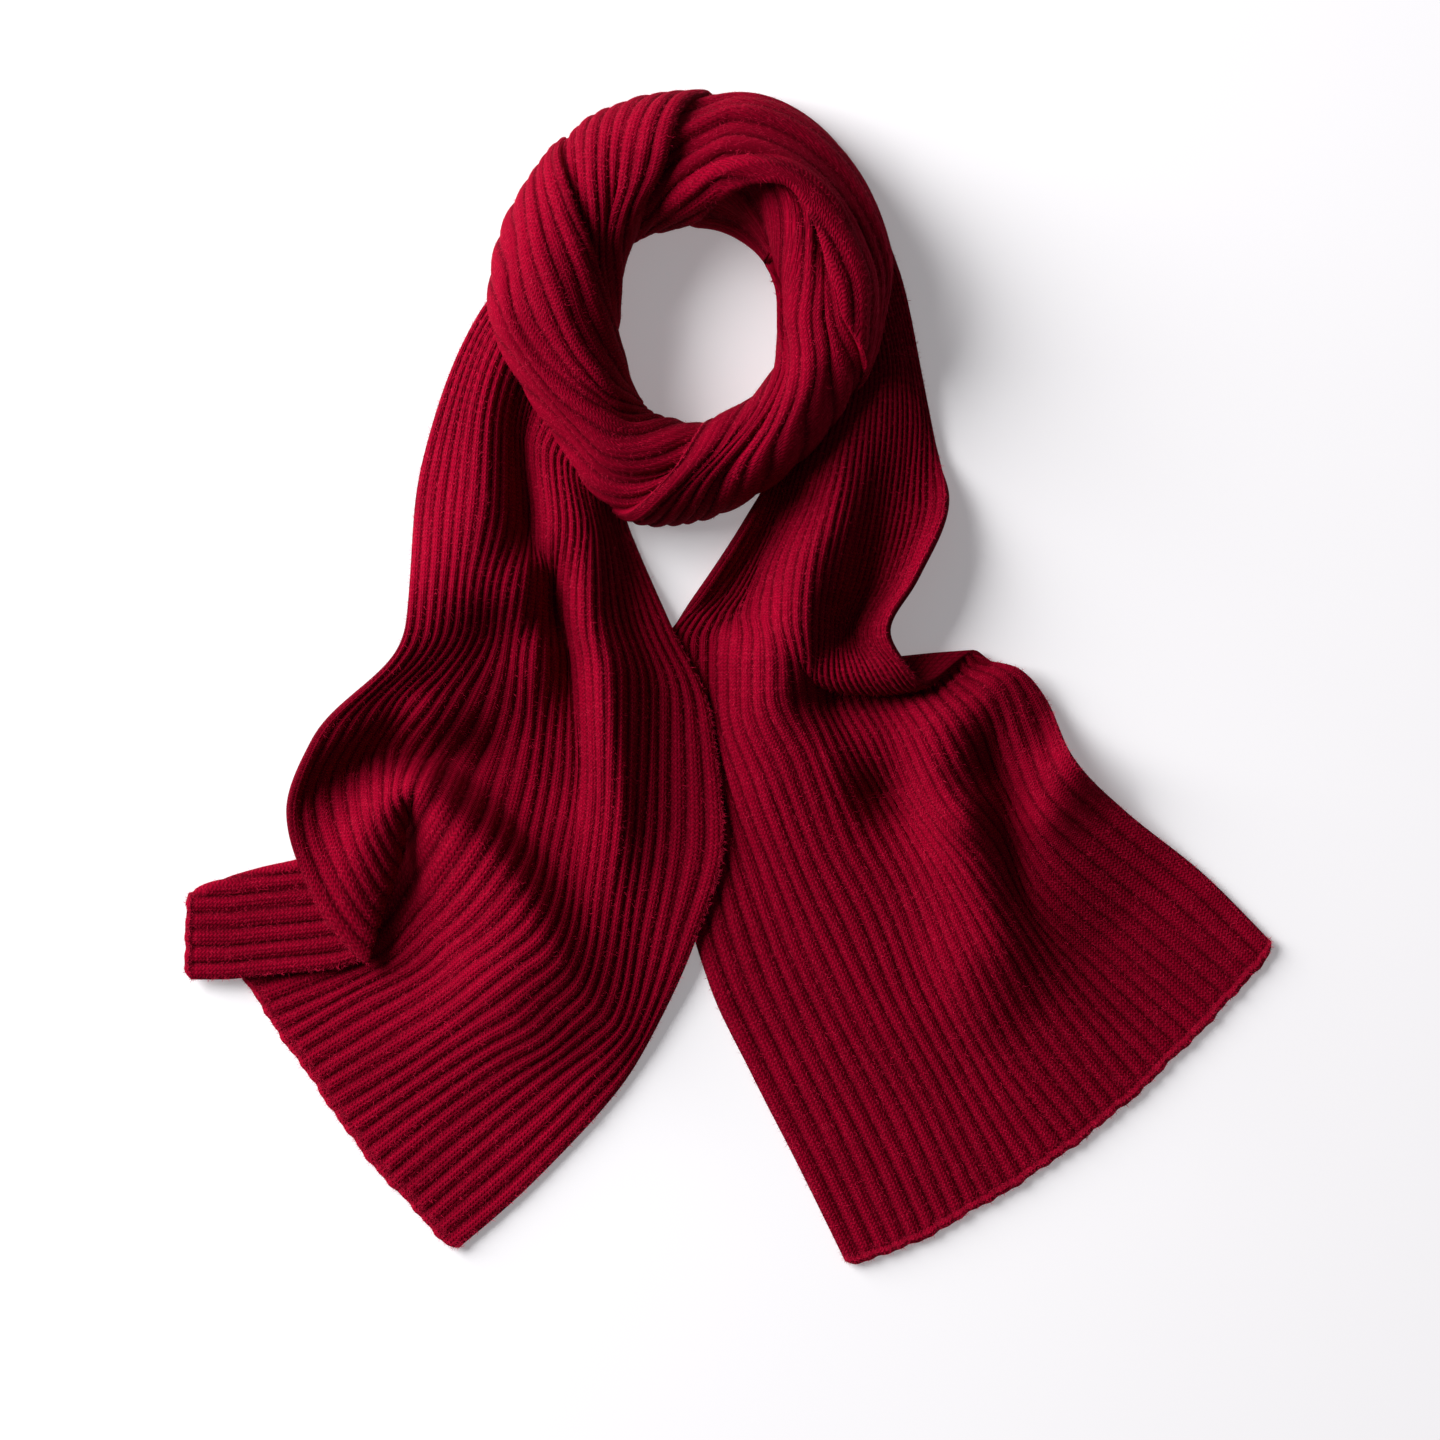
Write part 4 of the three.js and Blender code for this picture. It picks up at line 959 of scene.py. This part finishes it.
@dataclass
class RingBand(Stretch):
    """One band of the ring: it starts under the edge of the band before it and ends in its own edge."""

    band: Band
    rows: int = 112
    columns_a_rib: int = 16
    smoothing: int = 6
    held: ClassVar[Held] = Held.GATHERED
    rests_on: ClassVar[tuple[str, ...]] = ("ring_core",)

    def layout(self, shares: Array) -> tuple[Array, Array, Array]:
        """Where the band lies on the ring.

        Args:
            shares: shares of the way from the inner rim to the outer one, (rows,).

        Returns:
            Rib numbers of the CAD band (columns,), degrees and turn (rows, columns, 2), and the knit's own
            rib numbers (rows, columns).
        """
        band = self.band
        before = BANDS[BANDS.index(band) - 1]
        over = [ring_line(g.line, shares) for g in before.guides]
        edge = np.array([before.width - TUCK_RIBS])
        last = across_guides([g.place for g in before.guides], over, edge)[:, 0]
        places = np.linspace(0, band.width, band.width * self.columns_a_rib + 1)
        knots = [0.0] + [g.place for g in band.guides]
        spots = across_guides(knots, [last] + [ring_line(g.line, shares) for g in band.guides], places)
        if band.drift:
            degrees = (spots[..., 0] + FULL_TURN / 2) % FULL_TURN - FULL_TURN / 2
            drift = np.interp(degrees, *np.array(band.drift, float).T)
            return places, spots, RIBS_ROUND * (1 - spots[..., 1] / math.pi) + drift
        knit = [g.rib_at(shares) for g in band.guides]
        return places, spots, curve_at(np.array(knots), np.stack([knit[0] - TUCK_RIBS] + knit), places).T

    def folded(self, dip: Array, grid: Array, ribs: Array, held: Array) -> Array:
        """Adds the band's folds and hollows to a dip.

        Both are bell-shaped, exp(-d^2), and fade at the rims. A fold's d is a distance in ribs, so where ribs
        are narrow its depth is less and its sides stay under FOLD_STEEPNESS.

        Args:
            dip: depth so far, in mm.
            grid: the band's points.
            ribs: rib number of each point.
            held: half sine over the rows, 0 at both rims.

        Returns:
            Depth in mm, (rows, columns).
        """
        steps = [np.maximum(np.linalg.norm(np.gradient(grid, axis=k), axis=2), TINY) for k in (1, 0)]
        rates = [np.gradient(ribs, axis=k) / step for k, step in zip((1, 0), steps)]
        pitch = 1 / np.maximum(np.hypot(*rates), LEAST_RIBS_A_MM)
        for at, depth, half in self.band.folds:
            depth = np.minimum(depth, FOLD_STEEPNESS * half * pitch)
            dip = dip + depth * smooth_step(held / FOLD_FULL) * np.exp(-(((ribs - at) / half) ** 2))
        for x, y, reach, depth in self.band.hollows:
            apart = np.hypot(grid[..., 0] - x, grid[..., 1] - y)
            dip = dip + depth * smooth_step(held / HOLLOW_FULL) * np.exp(-((apart / reach) ** 2))
        return dip

    def wall(self) -> KnitWall:
        """The band's knit wall.

        Its first ribs are sunk under the band before it, its last ones lifted on to the next with a rounded
        edge, and folds and hollows are sunk in between.

        Returns:
            The wall.
        """
        band = self.band
        shares = np.linspace(0, 1, self.rows + 1)
        places, spots, ribs = self.layout(shares)
        grid = relaxed(ring_point(spots[..., 0], spots[..., 1]), self.smoothing, 1)
        normals = grid_normals(grid, level_ends=True)
        held = np.sin(np.pi * shares)[:, None]
        from_edge = places - band.width
        roll, roll_ribs = EDGE_ROLL
        lift = RIM_LIFT + (band.lift - RIM_LIFT) * smooth_step(held / LIFT_FULL)
        rise = lift * smooth_step((from_edge + LAP_RIBS + RAMP_RIBS) / RAMP_RIBS)
        rise = rise - roll * smooth_step((from_edge + roll_ribs) / roll_ribs) ** 2
        tuck = TUCK_SINK * smooth_step((TUCK_RIBS + RAMP_RIBS - places) / RAMP_RIBS)
        dip = np.minimum(self.folded(tuck, grid, ribs, held), DEEPEST_SINK)
        grid = grid + normals * (rise - dip)[..., None]
        return KnitWall(band.name, grid, ribs, lengths_along(grid), grid_normals(grid, level_ends=True),
                        relief=RING_RELIEF, soft_edges=(False, True))


@dataclass
class RingCore:
    """Hidden layers of the ring as one closed roll of cloth, folded layers showing at its edges.

    In mm: depth is how far the roll stays inside the bands, seat_gap what is left under them, edge_depth the
    rounding of a layer's edge, dome_inset how far the upper part stays inside the layers' outer edge.
    """

    name: str = "ring_core"
    stations: int = 180
    layers: int = 2
    edge_steps: int = 7
    dome_steps: int = 17
    depth: float = 10.0
    seat_gap: float = 0.3
    edge_depth: float = 1.5
    dome_inset: float = 2.0
    mean_radius: float = 85.0

    def build(self) -> bpy.types.Object:
        """Makes the roll: at each angle a flat base, rounded layer edges, and a half ellipse above.

        Returns:
            The new object, its ribs running round the hole.
        """
        degrees = np.arange(self.stations) * FULL_TURN / self.stations
        inner, outer, edge, top = (rim_at(name, degrees) for name in ("inner", "outer", "edge", "top"))
        limit = outer - rim_at("room", degrees)
        layer = (RIM_HEIGHT - self.seat_gap) / self.layers
        edges = [(self.edge_depth * (1 - math.cos(b)), layer * (k + 0.5 + 0.5 * math.sin(b)))
                 for k in range(self.layers) for b in np.linspace(-math.pi / 2, math.pi / 2, self.edge_steps)]
        middle, half = (inner + outer) / 2, (outer - inner) / 2 - self.depth
        profile = [(inner + inset, height) for inset, height in edges]
        for turn in np.linspace(0, math.pi, self.dome_steps):
            low = np.maximum(layer * self.layers, (RIM_HEIGHT if turn < math.pi / 2 else edge) - self.depth)
            height = low + (top - self.depth - low) * math.sin(turn)
            profile.append((np.minimum(middle - half * math.cos(turn), limit - self.dome_inset), height))
        profile += [(limit - inset, height) for inset, height in reversed(edges)]
        radius = np.stack([p[0] for p in profile], axis=1)
        height = np.stack([np.broadcast_to(p[1], self.stations) for p in profile], axis=1)
        points = ring_place(np.radians(degrees)[:, None], radius, height)
        here = np.arange(radius.size).reshape(radius.shape)
        beside = np.roll(here, -1, axis=0)
        quads = np.stack([here, np.roll(here, -1, axis=1), np.roll(beside, -1, axis=1), beside], axis=2)
        steps = np.hypot(np.diff(radius, axis=1), np.diff(height, axis=1)).mean(axis=0)
        u = np.concatenate([[0.0], np.cumsum(steps)]) / RIB_PITCH
        v = np.radians(degrees) * self.mean_radius / RIB_PITCH
        uv = np.stack(np.broadcast_arrays(u[None, :], v[:, None]), axis=2).reshape(-1, 2)
        return mesh_object(f"{self.name}_knit", points.reshape(-1, 3) * MM, quads.reshape(-1, 4), uv=uv)


# Fuzz.
@dataclass
class Fuzz:
    """Short loose fibres of the brushed yarn over a wall's outer face, as thin tapered strips.

    There are edge_share times as many in the hem's rows and in the edge_cells at a soft edge. Lengths are in
    mm; rise, droop and bend are parts of a unit step, and knee_width is a share of the width.
    """

    wall: KnitWall
    seed: int = SEED
    per_square_mm: float = 0.26
    edge_share: float = 6.0
    edge_cells: int = 2
    length: tuple[float, float] = (1.2, 3.6)
    width: float = 0.14
    rise: tuple[float, float] = (0.05, 0.75)
    droop: float = 0.35
    bend: float = 0.5
    knee_width: float = 0.8
    lowest: float = 0.02

    def build(self) -> bpy.types.Object:
        """Makes the fibres.

        Each starts on the ribbed face, leans a random way between the surface and its normal, and bends on
        over its second half.

        Returns:
            The new object.
        """
        rng = np.random.default_rng(self.seed)
        wall = self.wall
        outer = wall.outer_face()
        outer[..., 2] = np.maximum(outer[..., 2], 0)
        sides = np.cross(outer[1:, :-1] - outer[:-1, :-1], outer[:-1, 1:] - outer[:-1, :-1])
        area = np.linalg.norm(sides, axis=2) * np.repeat(wall.filled_cells(), COARSE, axis=1)
        rows, cells = 2 * HEM_ROWS, self.edge_cells
        strips = (np.s_[:rows], np.s_[-rows:], np.s_[:, :cells], np.s_[:, -cells:])
        for fuzzy, strip in zip(wall.hem_rows + wall.soft_edges, strips):
            area[strip] *= self.edge_share if fuzzy else 1
        count = int(area.sum() * self.per_square_mm)
        cell = rng.choice(area.size, count, p=(area / area.sum()).ravel())
        i, j = np.unravel_index(cell, area.shape)
        s, t = rng.random((2, count, 1))
        root = (outer[i, j] * (1 - s) * (1 - t) + outer[i + 1, j] * s * (1 - t)
                + outer[i, j + 1] * (1 - s) * t + outer[i + 1, j + 1] * s * t)
        normal = wall.normals[i, j]
        lean = rng.normal(size=(count, 3))
        lean = unit(lean - normal * np.sum(lean * normal, axis=1, keepdims=True))
        rise = rng.uniform(*self.rise, (count, 1))
        first = lean + normal * rise
        bend = rng.normal(scale=self.bend, size=(count, 1)) * np.cross(normal, lean)
        second = lean + normal * (rise - self.droop) + bend
        length = rng.uniform(*self.length, (count, 1)) / 2
        knee = root + unit(first) * length
        tip = knee + unit(second) * length
        side = unit(np.cross(first, normal)) * self.width / 2
        at_knee = side * self.knee_width
        points = np.stack([root - side, root + side, knee + at_knee, knee - at_knee, tip], axis=1)
        points[..., 2] = np.maximum(points[..., 2], self.lowest)
        base = np.arange(count)[:, None] * points.shape[1]
        return mesh_object(f"{wall.name}_fuzz", points.reshape(-1, 3) * MM, base + np.array([0, 1, 2, 3]),
                           base + np.array([3, 2, 4]))


# Finishes.
def linear(hex_colour: str) -> tuple[float, float, float, float]:
    """Linear RGBA of an sRGB hex colour such as "9c0634"."""
    parts = [int(hex_colour[k:k + 2], 16) / 255 for k in (0, 2, 4)]
    return (*(p / 12.92 if p <= 0.04045 else ((p + 0.055) / 1.055) ** 2.4 for p in parts), 1.0)


def noise_scale(grain: float) -> float:
    """Scale, a whole number, of a noise on metres whose grain is that many mm."""
    return float(round(1 / (grain * MM)))


def empty_material(name: str) -> bpy.types.Material:
    """Makes a material with an empty node tree.

    Args:
        name: the material's name.

    Returns:
        The material.
    """
    material = bpy.data.materials.new(name)
    material.use_nodes = True
    material.node_tree.nodes.clear()
    return material


def add_node(tree: bpy.types.NodeTree, kind: str, links: dict[Any, Any] | tuple[Any, ...] = (),
             **settings: Any) -> bpy.types.Node:
    """Adds a node.

    Args:
        tree: node tree of the material.
        kind: node type after "ShaderNode".
        links: for each input, by name or number or in their order, a socket, a node for its first output, or
            a plain value.
        settings: attributes of the node.

    Returns:
        The new node.
    """
    node = tree.nodes.new("ShaderNode" + kind)
    for key, value in settings.items():
        setattr(node, key, value)
    for key, value in links.items() if isinstance(links, dict) else enumerate(links):
        if isinstance(value, bpy.types.Node):
            value = value.outputs[0]
        if isinstance(value, bpy.types.NodeSocket):
            tree.links.new(value, node.inputs[key])
        else:
            node.inputs[key].default_value = value
    return node


@dataclass(frozen=True)
class RibKnit:
    """Brushed wool blend in rib knit: matt yarn, painted shade in the furrows between ribs, a pale bloom of fibre
    ends, and painted light at the hem.

    Ranges are (from, to, result at from, result at to). Painted shade darkens the hollows between stitches by the
    pair's first number less the stitch, times its second. yarn_round: how much stitch, wale and fibre stand out.
    """

    name: str = "wool_blend_rib_knit"
    yarn: str = "8a0020"
    # The second colour is painted shade for the furrows between ribs and the hollows between stitches.
    furrow_shade: str = "46000c"
    # The pale colour is the fibre ends' own, and also painted light at the hem.
    bloom_and_hem_light: str = "bc0830"
    sheen_tint: str = "ff0a40"
    roughness: float = 0.88
    specular: float = 0.03
    sheen: float = 0.08
    sheen_roughness: float = 0.4
    stitch_depth: float = 0.42
    bump: float = 0.8
    slant: float = 1.1
    furrow_shade_range: tuple[float, ...] = (0.26, 0.5, 0.0, 0.75)
    stitch_shade: tuple[float, float] = (0.9, 0.32)
    yarn_round: tuple[float, float, float] = (0.35, 0.8, 0.7)
    # Clumps of fibre ends and uneven dye, in mm. Real clumps are about 0.3 mm and wouldn't show.
    fibre_grain: float = 1.111
    patch_grain: float = 29.4
    speck_range: tuple[float, float] = (0.55, 0.75)
    speck_share: float = 0.55
    shade_range: tuple[float, ...] = (0.3, 0.7, 0.9, 1.08)
    # Painted light at the hem: over how much of the length from it, in rib pitches, the cloth is lightened.
    hem_light_range: tuple[float, ...] = (0.1, 0.6, 0.3, 0.0)

    def build(self) -> bpy.types.Material:
        """Makes the material: ribs and stitches from the knit UV map, fibre noise from Object coordinates.

        u counts ribs, v is the length in rib pitches. Each rib has a few wales; a stitch is a V, so its
        row is shifted by the distance from the wale's middle.

        Returns:
            The material.
        """
        material = empty_material(self.name)
        add = partial(add_node, material.node_tree)
        yarn, furrow_shade_colour, bloom_and_hem_light = linear(self.yarn), linear(self.furrow_shade), linear(self.bloom_and_hem_light)
        knit = add("SeparateXYZ", (add("UVMap", uv_map="knit"),))
        u, v = knit.outputs[0], knit.outputs[1]
        place = add("TexCoord").outputs["Object"]
        rib = add("Math", (u,), operation="FRACT")
        off_rib = add("Math", (rib, 0.5), operation="SUBTRACT")
        from_rib = add("Math", (off_rib,), operation="ABSOLUTE")
        # Painted shade: the furrows between ribs are mixed towards the dark colour.
        furrow_shade = add("MapRange", (from_rib, *self.furrow_shade_range), interpolation_type="SMOOTHSTEP")
        wales = add("Math", (u, float(WALES_PER_RIB)), operation="MULTIPLY")
        wale = add("Math", (wales,), operation="FRACT")
        off_wale = add("Math", (wale, 0.5), operation="SUBTRACT")
        from_wale = add("Math", (off_wale,), operation="ABSOLUTE")
        shift = add("Math", (from_wale, self.slant), operation="MULTIPLY")
        row = add("Math", (v, RIB_PITCH / STITCH_ROW, shift), operation="MULTIPLY_ADD")
        stitch = add("Math", (add("Math", (row, 2 * math.pi), operation="MULTIPLY"),), operation="SINE")
        plait = add("Math", (add("Math", (wale, math.pi), operation="MULTIPLY"),), operation="SINE")
        fibre = add("TexNoise", {"Vector": place, "Scale": noise_scale(self.fibre_grain), "Detail": 3.0,
                                 "Roughness": 0.65})
        patches = add("TexNoise", {"Vector": place, "Scale": noise_scale(self.patch_grain), "Detail": 2.0})
        base = add("Mix", {0: furrow_shade, 6: yarn, 7: furrow_shade_colour}, data_type="RGBA").outputs[2]
        # Painted shade: the hollows between stitches are mixed towards the dark furrow colour.
        stitch_shade_mix = add("Math", (self.stitch_shade[0], stitch), operation="SUBTRACT")
        stitch_shade_mix = add("Math", (stitch_shade_mix, self.stitch_shade[1]), operation="MULTIPLY")
        base = add("Mix", {0: stitch_shade_mix, 6: base, 7: furrow_shade_colour}, data_type="RGBA").outputs[2]
        speck = add("MapRange", (fibre, *self.speck_range))
        speck = add("Math", (speck, self.speck_share), operation="MULTIPLY")
        base = add("Mix", {0: speck, 6: base, 7: bloom_and_hem_light}, data_type="RGBA").outputs[2]
        shade = add("MapRange", (patches, *self.shade_range))
        base = add("HueSaturation", {"Value": shade, "Color": base})
        # Near the hem the cloth is mixed towards the pale colour: partly its denser fuzz, partly painted light shining
        # through that fuzz.
        hem = add("MapRange", (v, *self.hem_light_range))
        base = add("Mix", {0: hem, 6: base, 7: bloom_and_hem_light}, data_type="RGBA").outputs[2]
        wale_height = add("Math", (plait, self.yarn_round[1]), operation="MULTIPLY")
        height = add("Math", (stitch, self.yarn_round[0], wale_height), operation="MULTIPLY_ADD")
        height = add("Math", (fibre, self.yarn_round[2], height), operation="MULTIPLY_ADD")
        bump = add("Bump", {"Height": height, "Strength": self.bump, "Distance": self.stitch_depth * MM})
        shader = add("BsdfPrincipled", {
            "Base Color": base, "Normal": bump, "Roughness": self.roughness,
            "Specular IOR Level": self.specular, "Sheen Weight": self.sheen,
            "Sheen Roughness": self.sheen_roughness, "Sheen Tint": linear(self.sheen_tint)})
        add("OutputMaterial", (shader,))
        return material


@dataclass(frozen=True)
class LooseFibre:
    """Fibre ends of the same yarn, thin enough to look paler than the cloth, matt, uneven in shade.

    grain is about a fibre's length, in mm, so that the shade changes from one to the next.
    """

    name: str = "wool_blend_loose_fibre"
    colour: str = "be0a36"
    roughness: float = 0.9
    specular: float = 0.2
    grain: float = 3.33
    shade_range: tuple[float, ...] = (0.3, 0.7, 0.7, 1.2)

    def build(self) -> bpy.types.Material:
        """Makes the material, its shade a noise over the cloth.

        Returns:
            The material.
        """
        material = empty_material(self.name)
        add = partial(add_node, material.node_tree)
        place = add("TexCoord").outputs["Object"]
        noise = add("TexNoise", {"Vector": place, "Scale": noise_scale(self.grain)})
        shade = add("MapRange", (noise, *self.shade_range))
        colour = add("HueSaturation", {"Value": shade, "Color": linear(self.colour)})
        shader = add("BsdfPrincipled", {"Base Color": colour, "Roughness": self.roughness,
                                        "Specular IOR Level": self.specular})
        add("OutputMaterial", (shader,))
        return material


@dataclass(frozen=True)
class Tabletop:
    """Painted white board that the scarf lies on: matt, with a faint grain and a little light of its own.

    The glow stands for the light that a white studio sends back from all sides into the shadows. The paint's
    real grain, under 1 mm, wouldn't show, so it is drawn 25 mm coarse.
    """

    name: str = "matt_white_board"
    colour: str = "e9e8ea"
    specular: float = 0.1
    grain: float = 25.0
    rough_range: tuple[float, ...] = (0.0, 1.0, 0.75, 0.9)
    glow_colour: str = "fffafc"
    glow: float = 0.27

    def build(self) -> bpy.types.Material:
        """Makes the material, its roughness a noise over the board.

        Returns:
            The material.
        """
        material = empty_material(self.name)
        add = partial(add_node, material.node_tree)
        place = add("TexCoord").outputs["Object"]
        grain = add("TexNoise", {"Vector": place, "Scale": noise_scale(self.grain)})
        rough = add("MapRange", (grain, *self.rough_range))
        shader = add("BsdfPrincipled", {
            "Base Color": linear(self.colour), "Roughness": rough, "Specular IOR Level": self.specular,
            "Emission Color": linear(self.glow_colour), "Emission Strength": self.glow})
        add("OutputMaterial", (shader,))
        return material


# Studio.
@dataclass
class Studio:
    """White board, soft light from the upper left and the camera straight above, in metres and watts.

    frame_width is what the picture's 1440 pixels show at 0.56 mm each.
    """

    frame_width: float = 0.8064
    camera_height: float = 6.0
    aim: tuple[float, float] = (-0.0056, -0.02184)
    sensor: float = 36.0
    key_place: tuple[float, float, float] = (-4.0, 2.0, 1.95)
    key_size: float = 3.5
    key_power: float = 615.0
    fill: float = 0.08
    fill_colour: str = "f1f3ff"
    floor_reach: float = 3.0
    far: float = 50.0

    def build(self) -> None:
        """Makes the floor, the light, the surroundings and the camera."""
        scene = bpy.context.scene
        scene.view_settings.view_transform = "Standard"
        corners = np.array([(-1, -1, 0), (1, -1, 0), (1, 1, 0), (-1, 1, 0)], float) * self.floor_reach
        floor = mesh_object("floor", corners, np.array([[0, 1, 2, 3]]))
        floor.data.materials.append(Tabletop().build())
        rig.stage(floor)
        light = bpy.data.lights.new("key", "AREA")
        light.energy, light.size = self.key_power, self.key_size
        key = bpy.data.objects.new("key", light)
        key.location = self.key_place
        key.rotation_euler = (-key.location).to_track_quat("-Z", "Y").to_euler()
        scene.collection.objects.link(key)
        world = bpy.data.worlds.new("studio")
        world.use_nodes = True
        background = world.node_tree.nodes["Background"]
        background.inputs[0].default_value = linear(self.fill_colour)
        background.inputs[1].default_value = self.fill
        scene.world = world
        data = bpy.data.cameras.new("camera")
        data.sensor_width, data.lens = self.sensor, self.sensor * self.camera_height / self.frame_width
        data.clip_end = self.far
        camera = bpy.data.objects.new("camera", data)
        camera.location = (*self.aim, self.camera_height)
        scene.collection.objects.link(camera)
        scene.camera = camera


@dataclass
class Scarf:
    """The whole scarf: two tails, the folded corner, four bands of the ring and its hidden layers."""

    knit: RibKnit = field(default_factory=RibKnit)
    fibre: LooseFibre = field(default_factory=LooseFibre)

    def build(self) -> None:
        knit, fibre = self.knit.build(), self.fibre.build()
        makers = [
            Tail("left_tail", LEFT_TAIL, LEFT_SLIT_AFTER, LEFT_APEX_RIB, swells=LEFT_SWELLS),
            Tail("right_tail", RIGHT_TAIL, swells=RIGHT_SWELLS),
            FoldedCorner(),
            *(RingBand(band) for band in BANDS),
        ]
        for number, maker in enumerate(makers):
            wall = maker.wall()
            piece = self.dress(wall.build(), knit, wall.name)
            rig.replaces(piece, wall.name)
            fuzz = self.dress(Fuzz(wall, SEED + number).build(), fibre, wall.name)
            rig.sheet(piece, held=maker.held.value, rests_on=list(maker.rests_on), with_pieces=[fuzz],
                     **wall.cut())
        core = self.dress(RingCore().build(), knit, "ring_core")
        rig.replaces(core, "ring_core")

    def dress(self, piece: bpy.types.Object, material: bpy.types.Material, slot: str) -> bpy.types.Object:
        """Gives a piece its material, its slot and the body it rides on.

        Args:
            piece: the piece.
            material: its finish.
            slot: the record's material slot.

        Returns:
            The same piece.
        """
        piece.data.materials.append(material)
        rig.slot(piece, slot)
        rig.ride(piece, "root")
        log.info("%s: %d faces", piece.name, len(piece.data.polygons))
        return piece


def main() -> None:
    """Loads the frame, builds the scarf and the studio, and notes both boxes."""
    logging.basicConfig(level=logging.INFO, format="%(name)s %(message)s")
    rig.load()
    cad_box = [list(corner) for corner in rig.bounds()]
    Studio().build()
    Scarf().build()
    visual_box = [list(corner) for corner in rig.bounds()]
    with open("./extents.json", "w", encoding="utf-8") as sizes:
        json.dump({"cad": cad_box, "visual": visual_box}, sizes)


if __name__ == "__main__":
    main()
